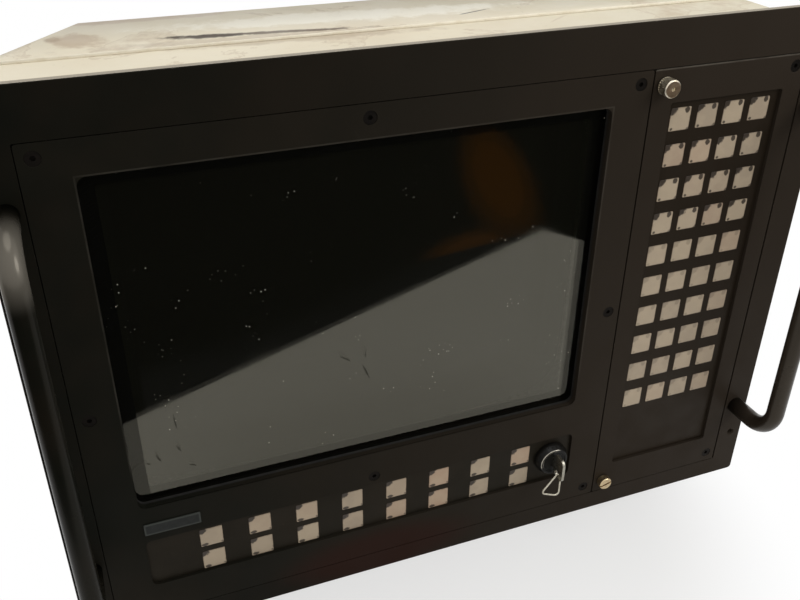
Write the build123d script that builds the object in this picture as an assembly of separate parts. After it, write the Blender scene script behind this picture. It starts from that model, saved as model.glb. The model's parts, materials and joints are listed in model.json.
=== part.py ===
from build123d import *
from math import radians, sin
import os

# Industrial operator panel: 19-inch front plate, picture tube, soft keys, hinged key door, rear housing.
# Millimetres. X to the right, Z up, Y to the rear. The origin is the centre of the four mounting
# holes, on the rear face of the front plate, which is the face that meets the cabinet.

# Front plate
panel_w = 482.6
panel_h = 354.8
panel_t = 4.0
panel_corner_r = 3.0
panel_edge_break = 0.4
mount_hole_dx = 465.1
mount_hole_dz = 279.4
mount_hole_d = 4.3
mount_sink_d = 6.3
mount_sink_t = 1.0
frame_side_w = 19.5
frame_top_w = 26.8
frame_bottom_w = 15.0
field_corner_r = 1.0

# Ledge ring behind the field
ring_side_inset = 17.3
ring_end_inset = 9.0
ring_corner_r = 3.0
ledge_t = 5.0
ledge_right_w = 15.5
ledge_bottom_h = 14.0
cross_bar_h = 17.0

# Seams and clearances
seam = 0.5
door_seam = 1.0
hinge_seam = 0.8
bay_margin = 1.0
screw_play = 0.05
run_play = 0.05
touch_play = 0.3
overrun = 1.0

# Screen window, glass and gasket
window_left_inset = 23.6
window_w = 287.0
window_low = 102.2
window_h = 206.4
window_corner_r = 5.0
window_edge_break = 0.8
gasket_w = 5.0
gasket_t = 2.0
glass_t = 3.0
glass_corner_r = 3.0
glass_play = 0.5
retainer_t = 1.0
retainer_mask = 8.0
retainer_bite = 3.0
retainer_tab_w = 14.0
retainer_tab_h = 12.0
retainer_tab_shares = (0.25, 0.75)

# Bezel plate and its screws
bezel_corner_r = 1.5
bezel_screw_inset = 7.5
bezel_low_screw_rise = 67.5
bezel_screw_head_d = 7.6
bezel_screw_head_t = 2.2
bezel_screw_d = 4.0
bezel_screw_sink = 0.3
socket_w = 2.5
socket_t = 1.5

# Name plate, left bare
name_plate_inset = 24.3
name_plate_rise = 66.5
name_plate_w = 33.0
name_plate_h = 8.2
name_plate_t = 0.8
name_plate_corner_r = 0.5

# Key pockets and keys
pocket_t = 2.5
foil_t = 0.4
key_w = 14.0
key_corner_r = 0.8
key_window_play = 0.15
key_proud = 0.2
key_lip = 0.8
key_lip_t = 1.0
key_lip_gap = 0.15
key_stem_d = 5.0
key_stem_t = 1.45
key_travel = 0.8
key_switch_gap = 0.9
tact_w = 6.0
tact_h = 2.0
board_t = 1.6
board_margin = 2.0
spacer_d = 5.0

# Soft key block
soft_pocket_left_inset = 23.6
soft_pocket_w = 288.7
soft_pocket_low = 39.8
soft_pocket_h = 36.7
soft_pocket_corner_r = 4.0
soft_count = 8
soft_rows = 2
soft_pitch_x = 30.19
soft_pitch_z = 18.4
soft_first_inset = 38.6
soft_row_inset = 7.9

# Key door
door_w = 106.7
door_corner_r = 1.0
hinge_edge_r = 0.8
hinge_rear_r = 2.4
hinge_pin_d = 2.0
hinge_pin_bite = 8.0
hinge_pin_gap = 0.4
door_pocket_left_inset = 13.7
door_pocket_w = 79.5
door_pocket_low = 38.8
door_pocket_h = 268.2
door_pocket_corner_r = 1.5
door_cols = 4
door_rows = 10
door_pitch_x = 18.82
door_pitch_z = 22.43
door_first_inset = 9.4
door_top_inset = 11.2
door_board_margin = 0.8
door_pan_t = 1.0
door_pan_d = 11.0
door_pan_play = 1.2
door_pan_corner_r = 2.0
corner_screw_inset = 7.5

# Captive door screws
door_screw_inset_x = 7.2
door_screw_inset_z = 9.5
door_screw_d = 4.0
door_screw_hole_d = 4.4
door_screw_gap = 0.2
thumb_head_d = 10.5
thumb_head_t = 8.0
thumb_edge_break = 0.6
thumb_dimple_d = 2.2
thumb_dimple_t = 1.2
thumb_grooves = 24
thumb_groove_d = 0.7
slot_head_d = 9.5
slot_head_t = 5.5
slot_w = 1.2
slot_depth = 1.8
slot_turn = -16.0

# Key switch
lock_right_inset = 15.4
lock_rise = 19.6
lock_flange_d = 24.0
lock_flange_t = 3.0
lock_nose_d = 20.0
lock_nose_t = 7.1
lock_dish_d = 16.5
lock_dish_t = 0.8
lock_barrel_d = 18.0
lock_barrel_len = 24.0
lock_hole_play = 0.2
lock_nut_w = 24.0
lock_nut_t = 4.0
rotor_d = 14.0
rotor_tail = 3.0
keyway_w = 2.2
keyway_h = 8.0
keyway_depth = 18.0
key_blade_h = 7.6
key_blade_t = 2.0
key_bow_h = 18.0
key_bow_l = 12.0
key_bow_r = 4.0
key_bow_gap = 0.6
key_neck_gap = 0.3
bow_hole_d = 5.0
bow_hole_drop = 5.2
bow_hole_out = 5.4
contact_w = 26.0
contact_h = 30.0
contact_len = 22.0

# Wire ring on the key
ring_wire_d = 1.4
ring_hang = 1.2
ring_bend_r = 2.4
ring_apex_angle = 38.4
ring_tilt = 19.2
ring_left_len = 22.8
ring_right_len = 24.2

# Bow handles
handle_x = 230.0
handle_span = 230.0
handle_low = 64.5
handle_d = 12.0
handle_reach = 38.0
handle_bend_r = 20.0
handle_screw_d = 5.0
handle_screw_len = 22.0
handle_screw_head_d = 9.6
handle_screw_head_t = 2.6

# Housing
sheet_t = 1.5
cover_inset = 17.3
cover_end_inset = 9.0
housing_flange_w = 10.5
housing_tab_low = 120.0
housing_tab_h = 170.0
flange_screw_shares = (0.12, 0.38, 0.62, 0.88)
straight_depth = 75.0
lap = 10.0
cover_depth = 132.0
rear_half_w = 181.0
tray_half_w = 172.0
tray_back_gap = 5.0

# Rear hood over the tube's neck
hood_w = 230.0
hood_h = 180.0
hood_end_w = 150.0
hood_end_h = 120.0
hood_depth = 186.0
hood_flange_w = 10.0
hood_flange_corner_r = 3.0
vent_w = 3.0
vent_len = 60.0
vent_pitch = 9.0
vent_count = 15
vent_start = 40.0

# Cover screws
pan_head_d = 8.0
pan_head_t = 2.4
pan_screw_d = 4.0
pan_screw_len = 6.0
cover_screw_count = 3
cover_screw_end = 60.0
floor_screw_dx = 120.0

# Picture tube
tube_half_w = 148.0
tube_half_h = 112.0
tube_corner_r = 25.0
tube_front = 17.0
tube_face_r = 1000.0
tube_glass_t = 6.0
tube_skirt_end = 72.0
tube_neck_d = 29.0
tube_neck_start = 198.0
tube_width_shares = (1, 0.79, 0.48, 0.22)
tube_height_shares = (1, 0.82, 0.54, 0.28)
tube_depth_shares = (0, 0.3, 0.6, 0.84)
tube_corner_shares = (0.2, 0.34, 0.6, 0.9)
tube_round_share = 0.98
tube_end = 306.0
band_t = 1.2
band_front = 38.0
band_w = 18.0
ear_dx = 154.0
ear_dz = 122.6
ear_w = 12.0
ear_t = 2.0
ear_root_share = 0.88
boss_d = 10.0
boss_end = 44.0
boss_hole_d = 4.1
ear_hole_d = 4.6

# Deflection yoke and neck board
yoke_front = 164.0
yoke_rear = 212.0
yoke_front_r = 68.0
yoke_rear_r = 38.0
yoke_mouth_r = 56.0
yoke_cone = 40.0
neck_board_w = 80.0
neck_board_h = 70.0
neck_board_back = 10.0
neck_socket_d = 38.0
neck_socket_t = 14.0

# Boards inside
standoff_d = 6.0
standoff_h = 8.0
monitor_board_left_gap = 42.0
monitor_board_w = 190.0
monitor_board_front = 30.0
monitor_board_d = 90.0
capacitor_d = 22.0
capacitor_h = 35.0
capacitor_count = 2
heat_sink_w = 60.0
heat_sink_t = 3.0
heat_sink_h = 34.0
line_w = 40.0
line_d = 36.0
line_h = 50.0
supply_w = 75.0
supply_d = 56.0
supply_h = 128.0
supply_front = 60.0
supply_right = 170.0
supply_t = 1.2
supply_vent_count = 7
interface_w = 84.0
interface_h = 140.0
interface_low = 176.0
interface_right = 170.0
interface_gap = 13.0

# Rear connections
plug_body_w = 53.0
plug_body_h = 12.5
plug_shell_w = 38.5
plug_shell_h = 8.5
plug_shell_out = 6.0
plug_shell_corner_r = 1.6
plug_hole_play = 0.6
plug_pitch = 60.0
jack_d = 5.0
jack_dx = 47.0
terminal_w = 44.0
terminal_h = 18.0
terminal_d = 16.0
terminal_low = 52.0
terminal_ways = 3
terminal_screw_d = 5.0
terminal_screw_t = 1.2
stud_d = 6.0
stud_len = 14.0
stud_low = 32.0
stud_nut_w = 10.0
stud_nut_t = 5.0


def up(height):
    """Height above the plate's lower edge, as a z value."""
    return height - panel_h / 2


def block(x, y, z):
    """Box between two x, two y and two z values."""
    size = (x[1] - x[0], y[1] - y[0], z[1] - z[0])
    return Pos((x[0] + x[1]) / 2, (y[0] + y[1]) / 2, (z[0] + z[1]) / 2) * Box(*size)


def slab(x, y, z, r):
    """Plate parallel to the front, with rounded corners."""
    middle = Pos((x[0] + x[1]) / 2, (z[0] + z[1]) / 2)
    outline = middle * RectangleRounded(x[1] - x[0], z[1] - z[0], r)
    return extrude(Plane.XZ.offset(-y[1]) * outline, y[1] - y[0])


def rod(x, z, d, y):
    """Round bar along Y."""
    return Pos(x, (y[0] + y[1]) / 2, z) * Rot(90, 0, 0) * Cylinder(d / 2, y[1] - y[0])


def cone(x, z, d_front, d_rear, y):
    """Tapered round along Y."""
    return Pos(x, (y[0] + y[1]) / 2, z) * Rot(90, 0, 0) * Cone(d_rear / 2, d_front / 2, y[1] - y[0])


def post(x, y, d, z):
    """Round bar along Z."""
    return Pos(x, y, (z[0] + z[1]) / 2) * Cylinder(d / 2, z[1] - z[0])


def hexagon(x, z, w, y):
    """Six-sided bar along Y, w across its flats."""
    outline = Pos(x, z) * RegularPolygon(w / 2, 6, major_radius=False)
    return extrude(Plane.XZ.offset(-y[1]) * outline, y[1] - y[0])


def grown(span, by):
    """A pair of values moved apart."""
    return (span[0] - by, span[1] + by)


def middle_of(span):
    return (span[0] + span[1]) / 2


def save(name, *solids):
    shape = solids[0] if len(solids) == 1 else Compound(list(solids))
    export_step(shape, "parts/" + name + ".step")


# Places worked out from the sizes
front = -panel_t
plate_y = (front, 0)
panel_x = (-panel_w / 2, panel_w / 2)
panel_z = (up(0), up(panel_h))
field_x = grown(panel_x, -frame_side_w)
field_z = (up(frame_bottom_w), up(panel_h - frame_top_w))
ring_x = grown(panel_x, -ring_side_inset)
ring_z = grown(panel_z, -ring_end_inset)
ledge_y = (0, ledge_t)

inset_z = grown(field_z, -seam)
door_x = (field_x[1] - hinge_seam - door_w, field_x[1] - hinge_seam)
bezel_x = (field_x[0] + seam, door_x[0] - door_seam)
hinge_x = door_x[1] - panel_t / 2
hinge_y = front / 2

window_x = (bezel_x[0] + window_left_inset, bezel_x[0] + window_left_inset + window_w)
window_z = (up(window_low), up(window_low + window_h))
screen_x = middle_of(window_x)
screen_z = middle_of(window_z)
glass_x = grown(window_x, gasket_w)
glass_z = grown(window_z, gasket_w)
glass_y = (gasket_t, gasket_t + glass_t)

soft_pocket_x = (bezel_x[0] + soft_pocket_left_inset, bezel_x[0] + soft_pocket_left_inset + soft_pocket_w)
soft_pocket_z = (up(soft_pocket_low), up(soft_pocket_low + soft_pocket_h))
door_pocket_x = (door_x[0] + door_pocket_left_inset, door_x[0] + door_pocket_left_inset + door_pocket_w)
door_pocket_z = (up(door_pocket_low), up(door_pocket_low + door_pocket_h))
pocket_floor = front + pocket_t
foil_front = pocket_floor - foil_t

bay_x = (door_pocket_x[0] - bay_margin, field_x[1] - ledge_right_w)
opening_z = (field_z[0] + ledge_bottom_h, glass_z[1] + glass_play)
opening_x = (glass_x[0] - glass_play, glass_x[1] + glass_play)
bar_z = (glass_z[0] - glass_play - cross_bar_h, glass_z[0] - glass_play)

soft_places = [
    (soft_pocket_x[0] + soft_first_inset + column * soft_pitch_x,
     soft_pocket_z[0] + soft_row_inset + row * soft_pitch_z)
    for row in range(soft_rows) for column in range(soft_count)]
door_places = [
    (door_pocket_x[0] + door_first_inset + column * door_pitch_x,
     door_pocket_z[1] - door_top_inset - row * door_pitch_z)
    for row in range(door_rows) for column in range(door_cols)]

cap_front = foil_front - key_proud
lip_y = (key_lip_gap, key_lip_gap + key_lip_t)
stem_end = lip_y[1] + key_stem_t
tact_front = stem_end + key_switch_gap
board_front = tact_front + tact_h
board_y = (board_front, board_front + board_t)

lock_x = soft_pocket_x[1] - lock_right_inset
lock_z = soft_pocket_z[0] + lock_rise
lock_face = foil_front - lock_nose_t

boss_places = [(screen_x + sx * ear_dx, screen_z + sz * ear_dz) for sx in (-1, 1) for sz in (-1, 1)]
bezel_screw_x = grown(bezel_x, -bezel_screw_inset)
bezel_screw_z = grown(inset_z, -bezel_screw_inset)
bezel_screw_places = [(x, z) for x in bezel_screw_x for z in bezel_screw_z]
bezel_screw_places += [(x, middle_of(inset_z)) for x in bezel_screw_x]
bezel_screw_places += [(middle_of(bezel_x), bezel_screw_z[1])]
bezel_screw_places += [(middle_of(bezel_x), inset_z[0] + bezel_low_screw_rise)]

door_screw_x = door_x[0] + door_screw_inset_x
door_screw_z = grown(inset_z, -door_screw_inset_z)
handle_z = (up(handle_low), up(handle_low + handle_span))
handle_places = [(side * handle_x, z) for side in (-1, 1) for z in handle_z]

cover_x = grown(panel_x, -cover_inset)
cover_z = grown(panel_z, -cover_end_inset)
inner_x = grown(cover_x, -sheet_t)
inner_z = grown(cover_z, -sheet_t)
tray_top = inner_z[0] + sheet_t
hood_x = (screen_x - hood_w / 2, screen_x + hood_w / 2)
hood_z = (screen_z - hood_h / 2, screen_z + hood_h / 2)


def countersunk_screw(x, z, head_d, head_t, shank_d, y, socket):
    """Countersunk screw along Y; y runs from the head's face to the shank's tip."""
    head = cone(x, z, head_d, shank_d, (y[0], y[0] + head_t))
    body = head + rod(x, z, shank_d, (y[0], y[1]))
    return body - hexagon(x, z, socket, (y[0] - overrun, y[0] + socket_t))


def screw_seat(x, z, head_d, head_t, shank_d, y):
    """Hole and countersink that such a screw sits in."""
    head = cone(x, z, head_d + 2 * screw_play, shank_d + 2 * screw_play, (y[0], y[0] + head_t))
    mouth = rod(x, z, head_d + 2 * screw_play, (y[0] - overrun, y[0]))
    return head + mouth + rod(x, z, shank_d + 2 * screw_play, (y[0], y[1] + overrun))


def pan_screw(place, side):
    """Pan-head screw; side is the direction its head faces."""
    head = Pos(0, 0, pan_head_t / 2) * Cylinder(pan_head_d / 2, pan_head_t)
    shank = Pos(0, 0, -pan_screw_len / 2) * Cylinder(pan_screw_d / 2, pan_screw_len)
    return Plane(origin=place, z_dir=side) * (head + shank)


# Front frame with its ledge ring, tube bosses and holes
def make_front_frame():
    plate = slab(panel_x, plate_y, panel_z, panel_corner_r)
    plate = chamfer(plate.faces().sort_by(Axis.Y)[0].edges(), panel_edge_break)
    plate -= slab(field_x, grown(plate_y, overrun), field_z, field_corner_r)
    ring = slab(ring_x, ledge_y, ring_z, ring_corner_r)
    cut_y = grown(ledge_y, overrun)
    ring -= block(opening_x, cut_y, (bar_z[1], opening_z[1]))
    ring -= block(opening_x, cut_y, (opening_z[0], bar_z[0]))
    ring -= block(bay_x, cut_y, opening_z)
    frame = plate + ring
    for x, z in boss_places:
        frame += rod(x, z, boss_d, (ledge_t, boss_end))
        frame -= rod(x, z, boss_hole_d, (ledge_t, boss_end + overrun))
    for sx in (-1, 1):
        for sz in (-1, 1):
            x = sx * mount_hole_dx / 2
            z = sz * mount_hole_dz / 2
            frame -= rod(x, z, mount_hole_d, grown(plate_y, overrun))
            frame -= cone(x, z, mount_sink_d, mount_hole_d, (front, front + mount_sink_t))
    for x, z in bezel_screw_places:
        frame -= rod(x, z, bezel_screw_d + 2 * screw_play, grown(ledge_y, overrun))
    for place, side in housing_flange_screws() + retainer_screws():
        frame -= rod(place[0], place[2], pan_screw_d + 2 * screw_play, (0, ledge_t + overrun))
    for z in door_screw_z:
        frame -= rod(door_screw_x, z, door_screw_hole_d, grown(ledge_y, overrun))
    for x, z in handle_places:
        seat_d = handle_screw_d + 2 * screw_play
        frame -= rod(x, z, seat_d, grown(plate_y, overrun))
        frame -= cone(x, z, seat_d, handle_screw_head_d + 2 * screw_play, (-handle_screw_head_t, 0))
    pin_hole_d = hinge_pin_d + 2 * screw_play
    top_pin = (field_z[1] - overrun, field_z[1] + hinge_pin_bite)
    low_pin = (field_z[0] - hinge_pin_bite, field_z[0] + overrun)
    for span in (top_pin, low_pin):
        frame -= post(hinge_x, hinge_y, pin_hole_d, span)
    return frame


# Bezel plate with screen window, soft key pocket and key switch hole
def make_screen_bezel():
    bezel = slab(bezel_x, plate_y, inset_z, bezel_corner_r)
    bezel -= slab(window_x, grown(plate_y, overrun), window_z, window_corner_r)
    rim = slab(window_x, (front, front + window_edge_break), window_z, window_corner_r)
    rim = rim.faces().sort_by(Axis.Y)[0]
    bezel -= extrude(rim, window_edge_break, dir=(0, 1, 0), taper=-45)
    bezel -= slab(soft_pocket_x, (front - overrun, pocket_floor), soft_pocket_z, soft_pocket_corner_r)
    for x, z in soft_places:
        bezel -= key_hole(x, z, (pocket_floor - overrun, overrun))
    bezel -= rod(lock_x, lock_z, lock_barrel_d + 2 * lock_hole_play, grown(plate_y, overrun))
    for x, z in bezel_screw_places:
        seat_y = (front + bezel_screw_sink, 0)
        bezel -= screw_seat(x, z, bezel_screw_head_d, bezel_screw_head_t, bezel_screw_d, seat_y)
    return bezel


def key_hole(x, z, y):
    half = key_w / 2 + key_window_play
    return slab((x - half, x + half), y, (z - half, z + half), key_corner_r)


def make_bezel_screws():
    span = (front + bezel_screw_sink, ledge_t)
    return [countersunk_screw(x, z, bezel_screw_head_d, bezel_screw_head_t, bezel_screw_d, span, socket_w)
            for x, z in bezel_screw_places]


def make_name_plate():
    x = bezel_x[0] + name_plate_inset
    z = inset_z[0] + name_plate_rise
    return slab((x, x + name_plate_w), (front - name_plate_t, front), (z, z + name_plate_h), name_plate_corner_r)


# Glass, gasket and retainer
def make_screen_glass():
    return slab(glass_x, glass_y, glass_z, glass_corner_r)


def make_glass_gasket():
    gasket = slab(glass_x, (0, gasket_t), glass_z, glass_corner_r)
    return gasket - slab(window_x, grown((0, gasket_t), overrun), window_z, window_corner_r)


def make_glass_retainer():
    y = (glass_y[1], glass_y[1] + retainer_t)
    x = grown(glass_x, retainer_bite)
    z = grown(glass_z, retainer_bite)
    retainer = slab(x, y, z, glass_corner_r)
    for place, side in retainer_screws():
        tab_x = grown((place[0], place[0]), retainer_tab_w / 2)
        inner = z[1] if place[2] > screen_z else z[0]
        outer = place[2] + (place[2] - inner)
        retainer += block(tab_x, y, sorted((inner, outer)))
        retainer -= pan_hole(place, side)
    opening_r = window_corner_r - glass_corner_r
    retainer -= slab(grown(window_x, -retainer_mask), grown(y, overrun), grown(window_z, -retainer_mask), opening_r)
    return retainer


def retainer_screws():
    y = glass_y[1] + retainer_t
    z = grown(grown(glass_z, retainer_bite), retainer_tab_h / 2)
    xs = [glass_x[0] + share * (glass_x[1] - glass_x[0]) for share in retainer_tab_shares]
    return [((x, y, level), (0, 1, 0)) for x in xs for level in z]


# Keys: a cap with a lip behind the plate and a stem over its switch
def make_key(x, z):
    half = key_w / 2
    cap = slab((x - half, x + half), (cap_front, lip_y[0]), (z - half, z + half), key_corner_r)
    lip_half = half + key_lip
    lip = slab((x - lip_half, x + lip_half), lip_y, (z - lip_half, z + lip_half), key_corner_r)
    return cap + lip + rod(x, z, key_stem_d, (lip_y[1], stem_end))


def make_foil(pocket_x, pocket_z, corner_r, places):
    foil = slab(grown(pocket_x, -screw_play), (foil_front, pocket_floor), grown(pocket_z, -screw_play), corner_r)
    for x, z in places:
        foil -= key_hole(x, z, (foil_front - overrun, pocket_floor + overrun))
    return foil


def make_switches(places):
    half = tact_w / 2
    return [block((x - half, x + half), (tact_front, board_front), (z - half, z + half)) for x, z in places]


def make_softkey_fascia():
    foil = make_foil(soft_pocket_x, soft_pocket_z, soft_pocket_corner_r, soft_places)
    return foil - rod(lock_x, lock_z, lock_barrel_d + 2 * lock_hole_play, grown((foil_front, pocket_floor), overrun))


soft_spacer_x = (soft_places[0][0] - soft_pitch_x / 2, soft_places[-1][0] - soft_pitch_x / 2)
soft_spacer_places = [(x, z) for x in soft_spacer_x for z in (soft_places[0][1], soft_places[-1][1])]
soft_board_x = (soft_spacer_x[0] - spacer_d, soft_places[-1][0] + key_w / 2 + board_margin)
soft_board_z = (soft_places[0][1] - key_w / 2 - board_margin, soft_places[-1][1] + key_w / 2 + board_margin)


def make_softkey_board():
    board = slab(soft_board_x, board_y, soft_board_z, board_margin)
    return [board] + make_switches(soft_places)


# Key door with its rounded hinge edge
def hinge_edges(door):
    upright = door.edges().filter_by(Axis.Z).group_by(Axis.X)[-1].sort_by(Axis.Y)
    return upright[-1], upright[0]


def make_key_door():
    door = block(door_x, plate_y, inset_z)
    rear_edge, front_edge = hinge_edges(door)
    door = fillet(rear_edge, hinge_rear_r)
    rear_edge, front_edge = hinge_edges(door)
    door = fillet(front_edge, hinge_edge_r)
    left_edges = door.edges().filter_by(Axis.Y).group_by(Axis.X)[0]
    door = fillet(left_edges, door_corner_r)
    door -= slab(door_pocket_x, (front - overrun, pocket_floor), door_pocket_z, door_pocket_corner_r)
    for x, z in door_places:
        door -= key_hole(x, z, (pocket_floor - overrun, overrun))
    pin_hole_d = hinge_pin_d + 2 * run_play
    door -= post(hinge_x, hinge_y, pin_hole_d, (inset_z[1] - hinge_pin_bite, inset_z[1] + overrun))
    door -= post(hinge_x, hinge_y, pin_hole_d, (inset_z[0] - overrun, inset_z[0] + hinge_pin_bite))
    for z in door_screw_z:
        door -= rod(door_screw_x, z, door_screw_hole_d, grown(plate_y, overrun))
    for x, z in corner_screw_places():
        seat_y = (front + bezel_screw_sink, 0)
        door -= screw_seat(x, z, bezel_screw_head_d, bezel_screw_head_t, bezel_screw_d, seat_y)
    return door


def corner_screw_places():
    return [(door_x[1] - corner_screw_inset, z) for z in grown(inset_z, -corner_screw_inset)]


def make_door_key_board():
    reach = key_w / 2 + door_board_margin
    z = (door_places[-1][1] - reach, door_places[0][1] + reach)
    x = (door_places[0][0] - reach, door_places[-1][0] + reach)
    board = slab(x, board_y, z, board_margin)
    spacers = [rod(px, pz, spacer_d, (0, board_front)) for px, pz in door_spacer_places()]
    return [board] + make_switches(door_places) + spacers


def door_spacer_places():
    """Between key rows, in the first and last column."""
    columns = (door_places[0][0], door_places[-1][0])
    rows = (door_places[0][1], door_places[door_cols * (door_rows // 2)][1], door_places[-1][1] + door_pitch_z)
    return [(x, z - door_pitch_z / 2) for x in columns for z in rows]


door_pan_x = grown(bay_x, -door_pan_play)
door_pan_z = grown(opening_z, -door_pan_play)


def make_door_pan():
    shell = slab(door_pan_x, (0, door_pan_d), door_pan_z, door_pan_corner_r)
    hollow = slab(grown(door_pan_x, -door_pan_t), (-overrun, door_pan_d - door_pan_t),
                  grown(door_pan_z, -door_pan_t), door_pan_t)
    cover = shell - hollow
    for x, z in door_spacer_places():
        cover += rod(x, z, spacer_d, (board_y[1], door_pan_d - door_pan_t / 2))
    return cover


def make_hinge_screws():
    span = (front + bezel_screw_sink, 0)
    screws = [countersunk_screw(x, z, bezel_screw_head_d, bezel_screw_head_t, bezel_screw_d, span, socket_w)
              for x, z in corner_screw_places()]
    return screws


def make_hinge_pins():
    top = (inset_z[1] - hinge_pin_bite + hinge_pin_gap, field_z[1] + hinge_pin_bite - hinge_pin_gap)
    low = (field_z[0] - hinge_pin_bite + hinge_pin_gap, inset_z[0] + hinge_pin_bite - hinge_pin_gap)
    return [post(hinge_x, hinge_y, hinge_pin_d, span) for span in (top, low)]


# Captive screws at the door's free edge
def make_door_screw_top():
    z = door_screw_z[1]
    back = front - door_screw_gap
    face = back - thumb_head_t
    head = rod(door_screw_x, z, thumb_head_d, (face, back))
    head = chamfer(head.edges().filter_by(GeomType.CIRCLE), thumb_edge_break)
    cut_y = (face + thumb_edge_break * 2, back - thumb_edge_break * 2)
    for i in range(thumb_grooves):
        turn = Pos(door_screw_x, 0, z) * Rot(0, i * 360 / thumb_grooves, 0) * Pos(thumb_head_d / 2, 0, 0)
        groove = rod(0, 0, thumb_groove_d, cut_y)
        head -= turn * groove
    head -= rod(door_screw_x, z, thumb_dimple_d, (face - overrun, face + thumb_dimple_t))
    return head + rod(door_screw_x, z, door_screw_d, (back, 0))


def make_door_screw_bottom():
    z = door_screw_z[0]
    back = front - door_screw_gap
    face = back - slot_head_t
    head = rod(door_screw_x, z, slot_head_d, (face, back))
    head = chamfer(head.edges().filter_by(GeomType.CIRCLE), thumb_edge_break)
    slot = block((-slot_head_d, slot_head_d), (face - overrun, face + slot_depth), (-slot_w / 2, slot_w / 2))
    head -= Pos(door_screw_x, 0, z) * Rot(0, slot_turn, 0) * slot
    return head + rod(door_screw_x, z, door_screw_d, (back, 0))


# Key switch, its barrel, nut, contacts, key and ring
def make_key_switch_body():
    body = rod(lock_x, lock_z, lock_flange_d, (foil_front - lock_flange_t, foil_front))
    nose_y = (lock_face, foil_front - lock_flange_t)
    body += cone(lock_x, lock_z, lock_nose_d, lock_flange_d, nose_y)
    body += rod(lock_x, lock_z, lock_barrel_d, (foil_front, foil_front + lock_barrel_len))
    body -= rod(lock_x, lock_z, lock_dish_d, (lock_face - overrun, lock_face + lock_dish_t))
    return body - rod(lock_x, lock_z, rotor_d + 2 * run_play, (lock_face, foil_front + lock_barrel_len + overrun))


rotor_y = (lock_face + lock_dish_t, foil_front + lock_barrel_len + rotor_tail)


def make_key_switch_rotor():
    rotor = rod(lock_x, lock_z, rotor_d, rotor_y)
    half_w = keyway_w / 2
    half_h = keyway_h / 2
    return rotor - block((lock_x - half_w, lock_x + half_w), (rotor_y[0] - overrun, rotor_y[0] + keyway_depth),
                         (lock_z - half_h, lock_z + half_h))


def make_key_switch_nut():
    nut = hexagon(lock_x, lock_z, lock_nut_w, (0, lock_nut_t))
    return nut - rod(lock_x, lock_z, lock_barrel_d + 2 * screw_play, grown((0, lock_nut_t), overrun))


def make_switch_contacts():
    y = (rotor_y[1] + touch_play, rotor_y[1] + touch_play + contact_len)
    case = block((lock_x - contact_w / 2, lock_x + contact_w / 2), y, (lock_z - contact_h / 2, lock_z + contact_h / 2))
    sleeve_y = (foil_front + lock_barrel_len - rotor_tail, y[0])
    sleeve = rod(lock_x, lock_z, contact_w, sleeve_y)
    bore = rod(lock_x, lock_z, lock_barrel_d + 2 * screw_play, (sleeve_y[0] - overrun, y[0]))
    return case + (sleeve - bore)


bow_y = (lock_face - key_bow_gap - key_bow_l, lock_face - key_bow_gap)
bow_hole_z = lock_z - bow_hole_drop
bow_hole_y = bow_y[1] - bow_hole_out


def make_switch_key():
    outline = Pos(middle_of(bow_y), lock_z) * RectangleRounded(key_bow_l, key_bow_h, key_bow_r)
    bow = extrude(Plane.YZ.offset(lock_x - key_blade_t / 2) * outline, key_blade_t)
    half_t = key_blade_t / 2
    half_h = key_blade_h / 2
    blade = block((lock_x - half_t, lock_x + half_t), (bow_y[1] - key_bow_r, rotor_y[0] + keyway_depth - touch_play),
                  (lock_z - half_h, lock_z + half_h))
    hole = Pos(lock_x, bow_hole_y, bow_hole_z) * Rot(0, 90, 0) * Cylinder(bow_hole_d / 2, key_blade_t + 2 * overrun)
    return bow + blade - hole


ring_axis_z = bow_hole_z - ring_hang - ring_bend_r


def make_key_ring():
    """Three-cornered wire loop that hangs askew; its top bend runs round the ring's own axis."""
    half = ring_apex_angle / 2
    apex = Vector(0, 0, ring_bend_r / sin(radians(half)))
    down = Vector(0, 0, -1)
    left = apex + down.rotate(Axis.Y, half) * ring_left_len
    right = apex + down.rotate(Axis.Y, -half) * ring_right_len
    corners = [corner.rotate(Axis.Y, ring_tilt) + Vector(lock_x, bow_hole_y, ring_axis_z)
               for corner in (left, right, apex)]
    path = FilletPolyline(*corners, radius=ring_bend_r, close=True)
    return sweep(sections=Plane(origin=path @ 0, z_dir=path % 0) * Circle(ring_wire_d / 2), path=path)


# Bow handles, tapped at both feet
def make_handle(side):
    x = side * handle_x
    out = front - handle_reach
    points = [(x, front, handle_z[0]), (x, out, handle_z[0]), (x, out, handle_z[1]), (x, front, handle_z[1])]
    path = FilletPolyline(*points, radius=handle_bend_r)
    bar = sweep(sections=Plane(origin=path @ 0, z_dir=path % 0) * Circle(handle_d / 2), path=path)
    for z in handle_z:
        bar -= rod(x, z, handle_screw_d + 2 * screw_play, (front - handle_screw_len + panel_t, front + overrun))
    return bar


def make_handle_screws():
    screws = []
    for x, z in handle_places:
        shank = rod(x, z, handle_screw_d, (front - handle_screw_len + panel_t + touch_play, -touch_play))
        head = cone(x, z, handle_screw_d, handle_screw_head_d, (-handle_screw_head_t, 0))
        screws.append(shank + head)
    return screws


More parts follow.
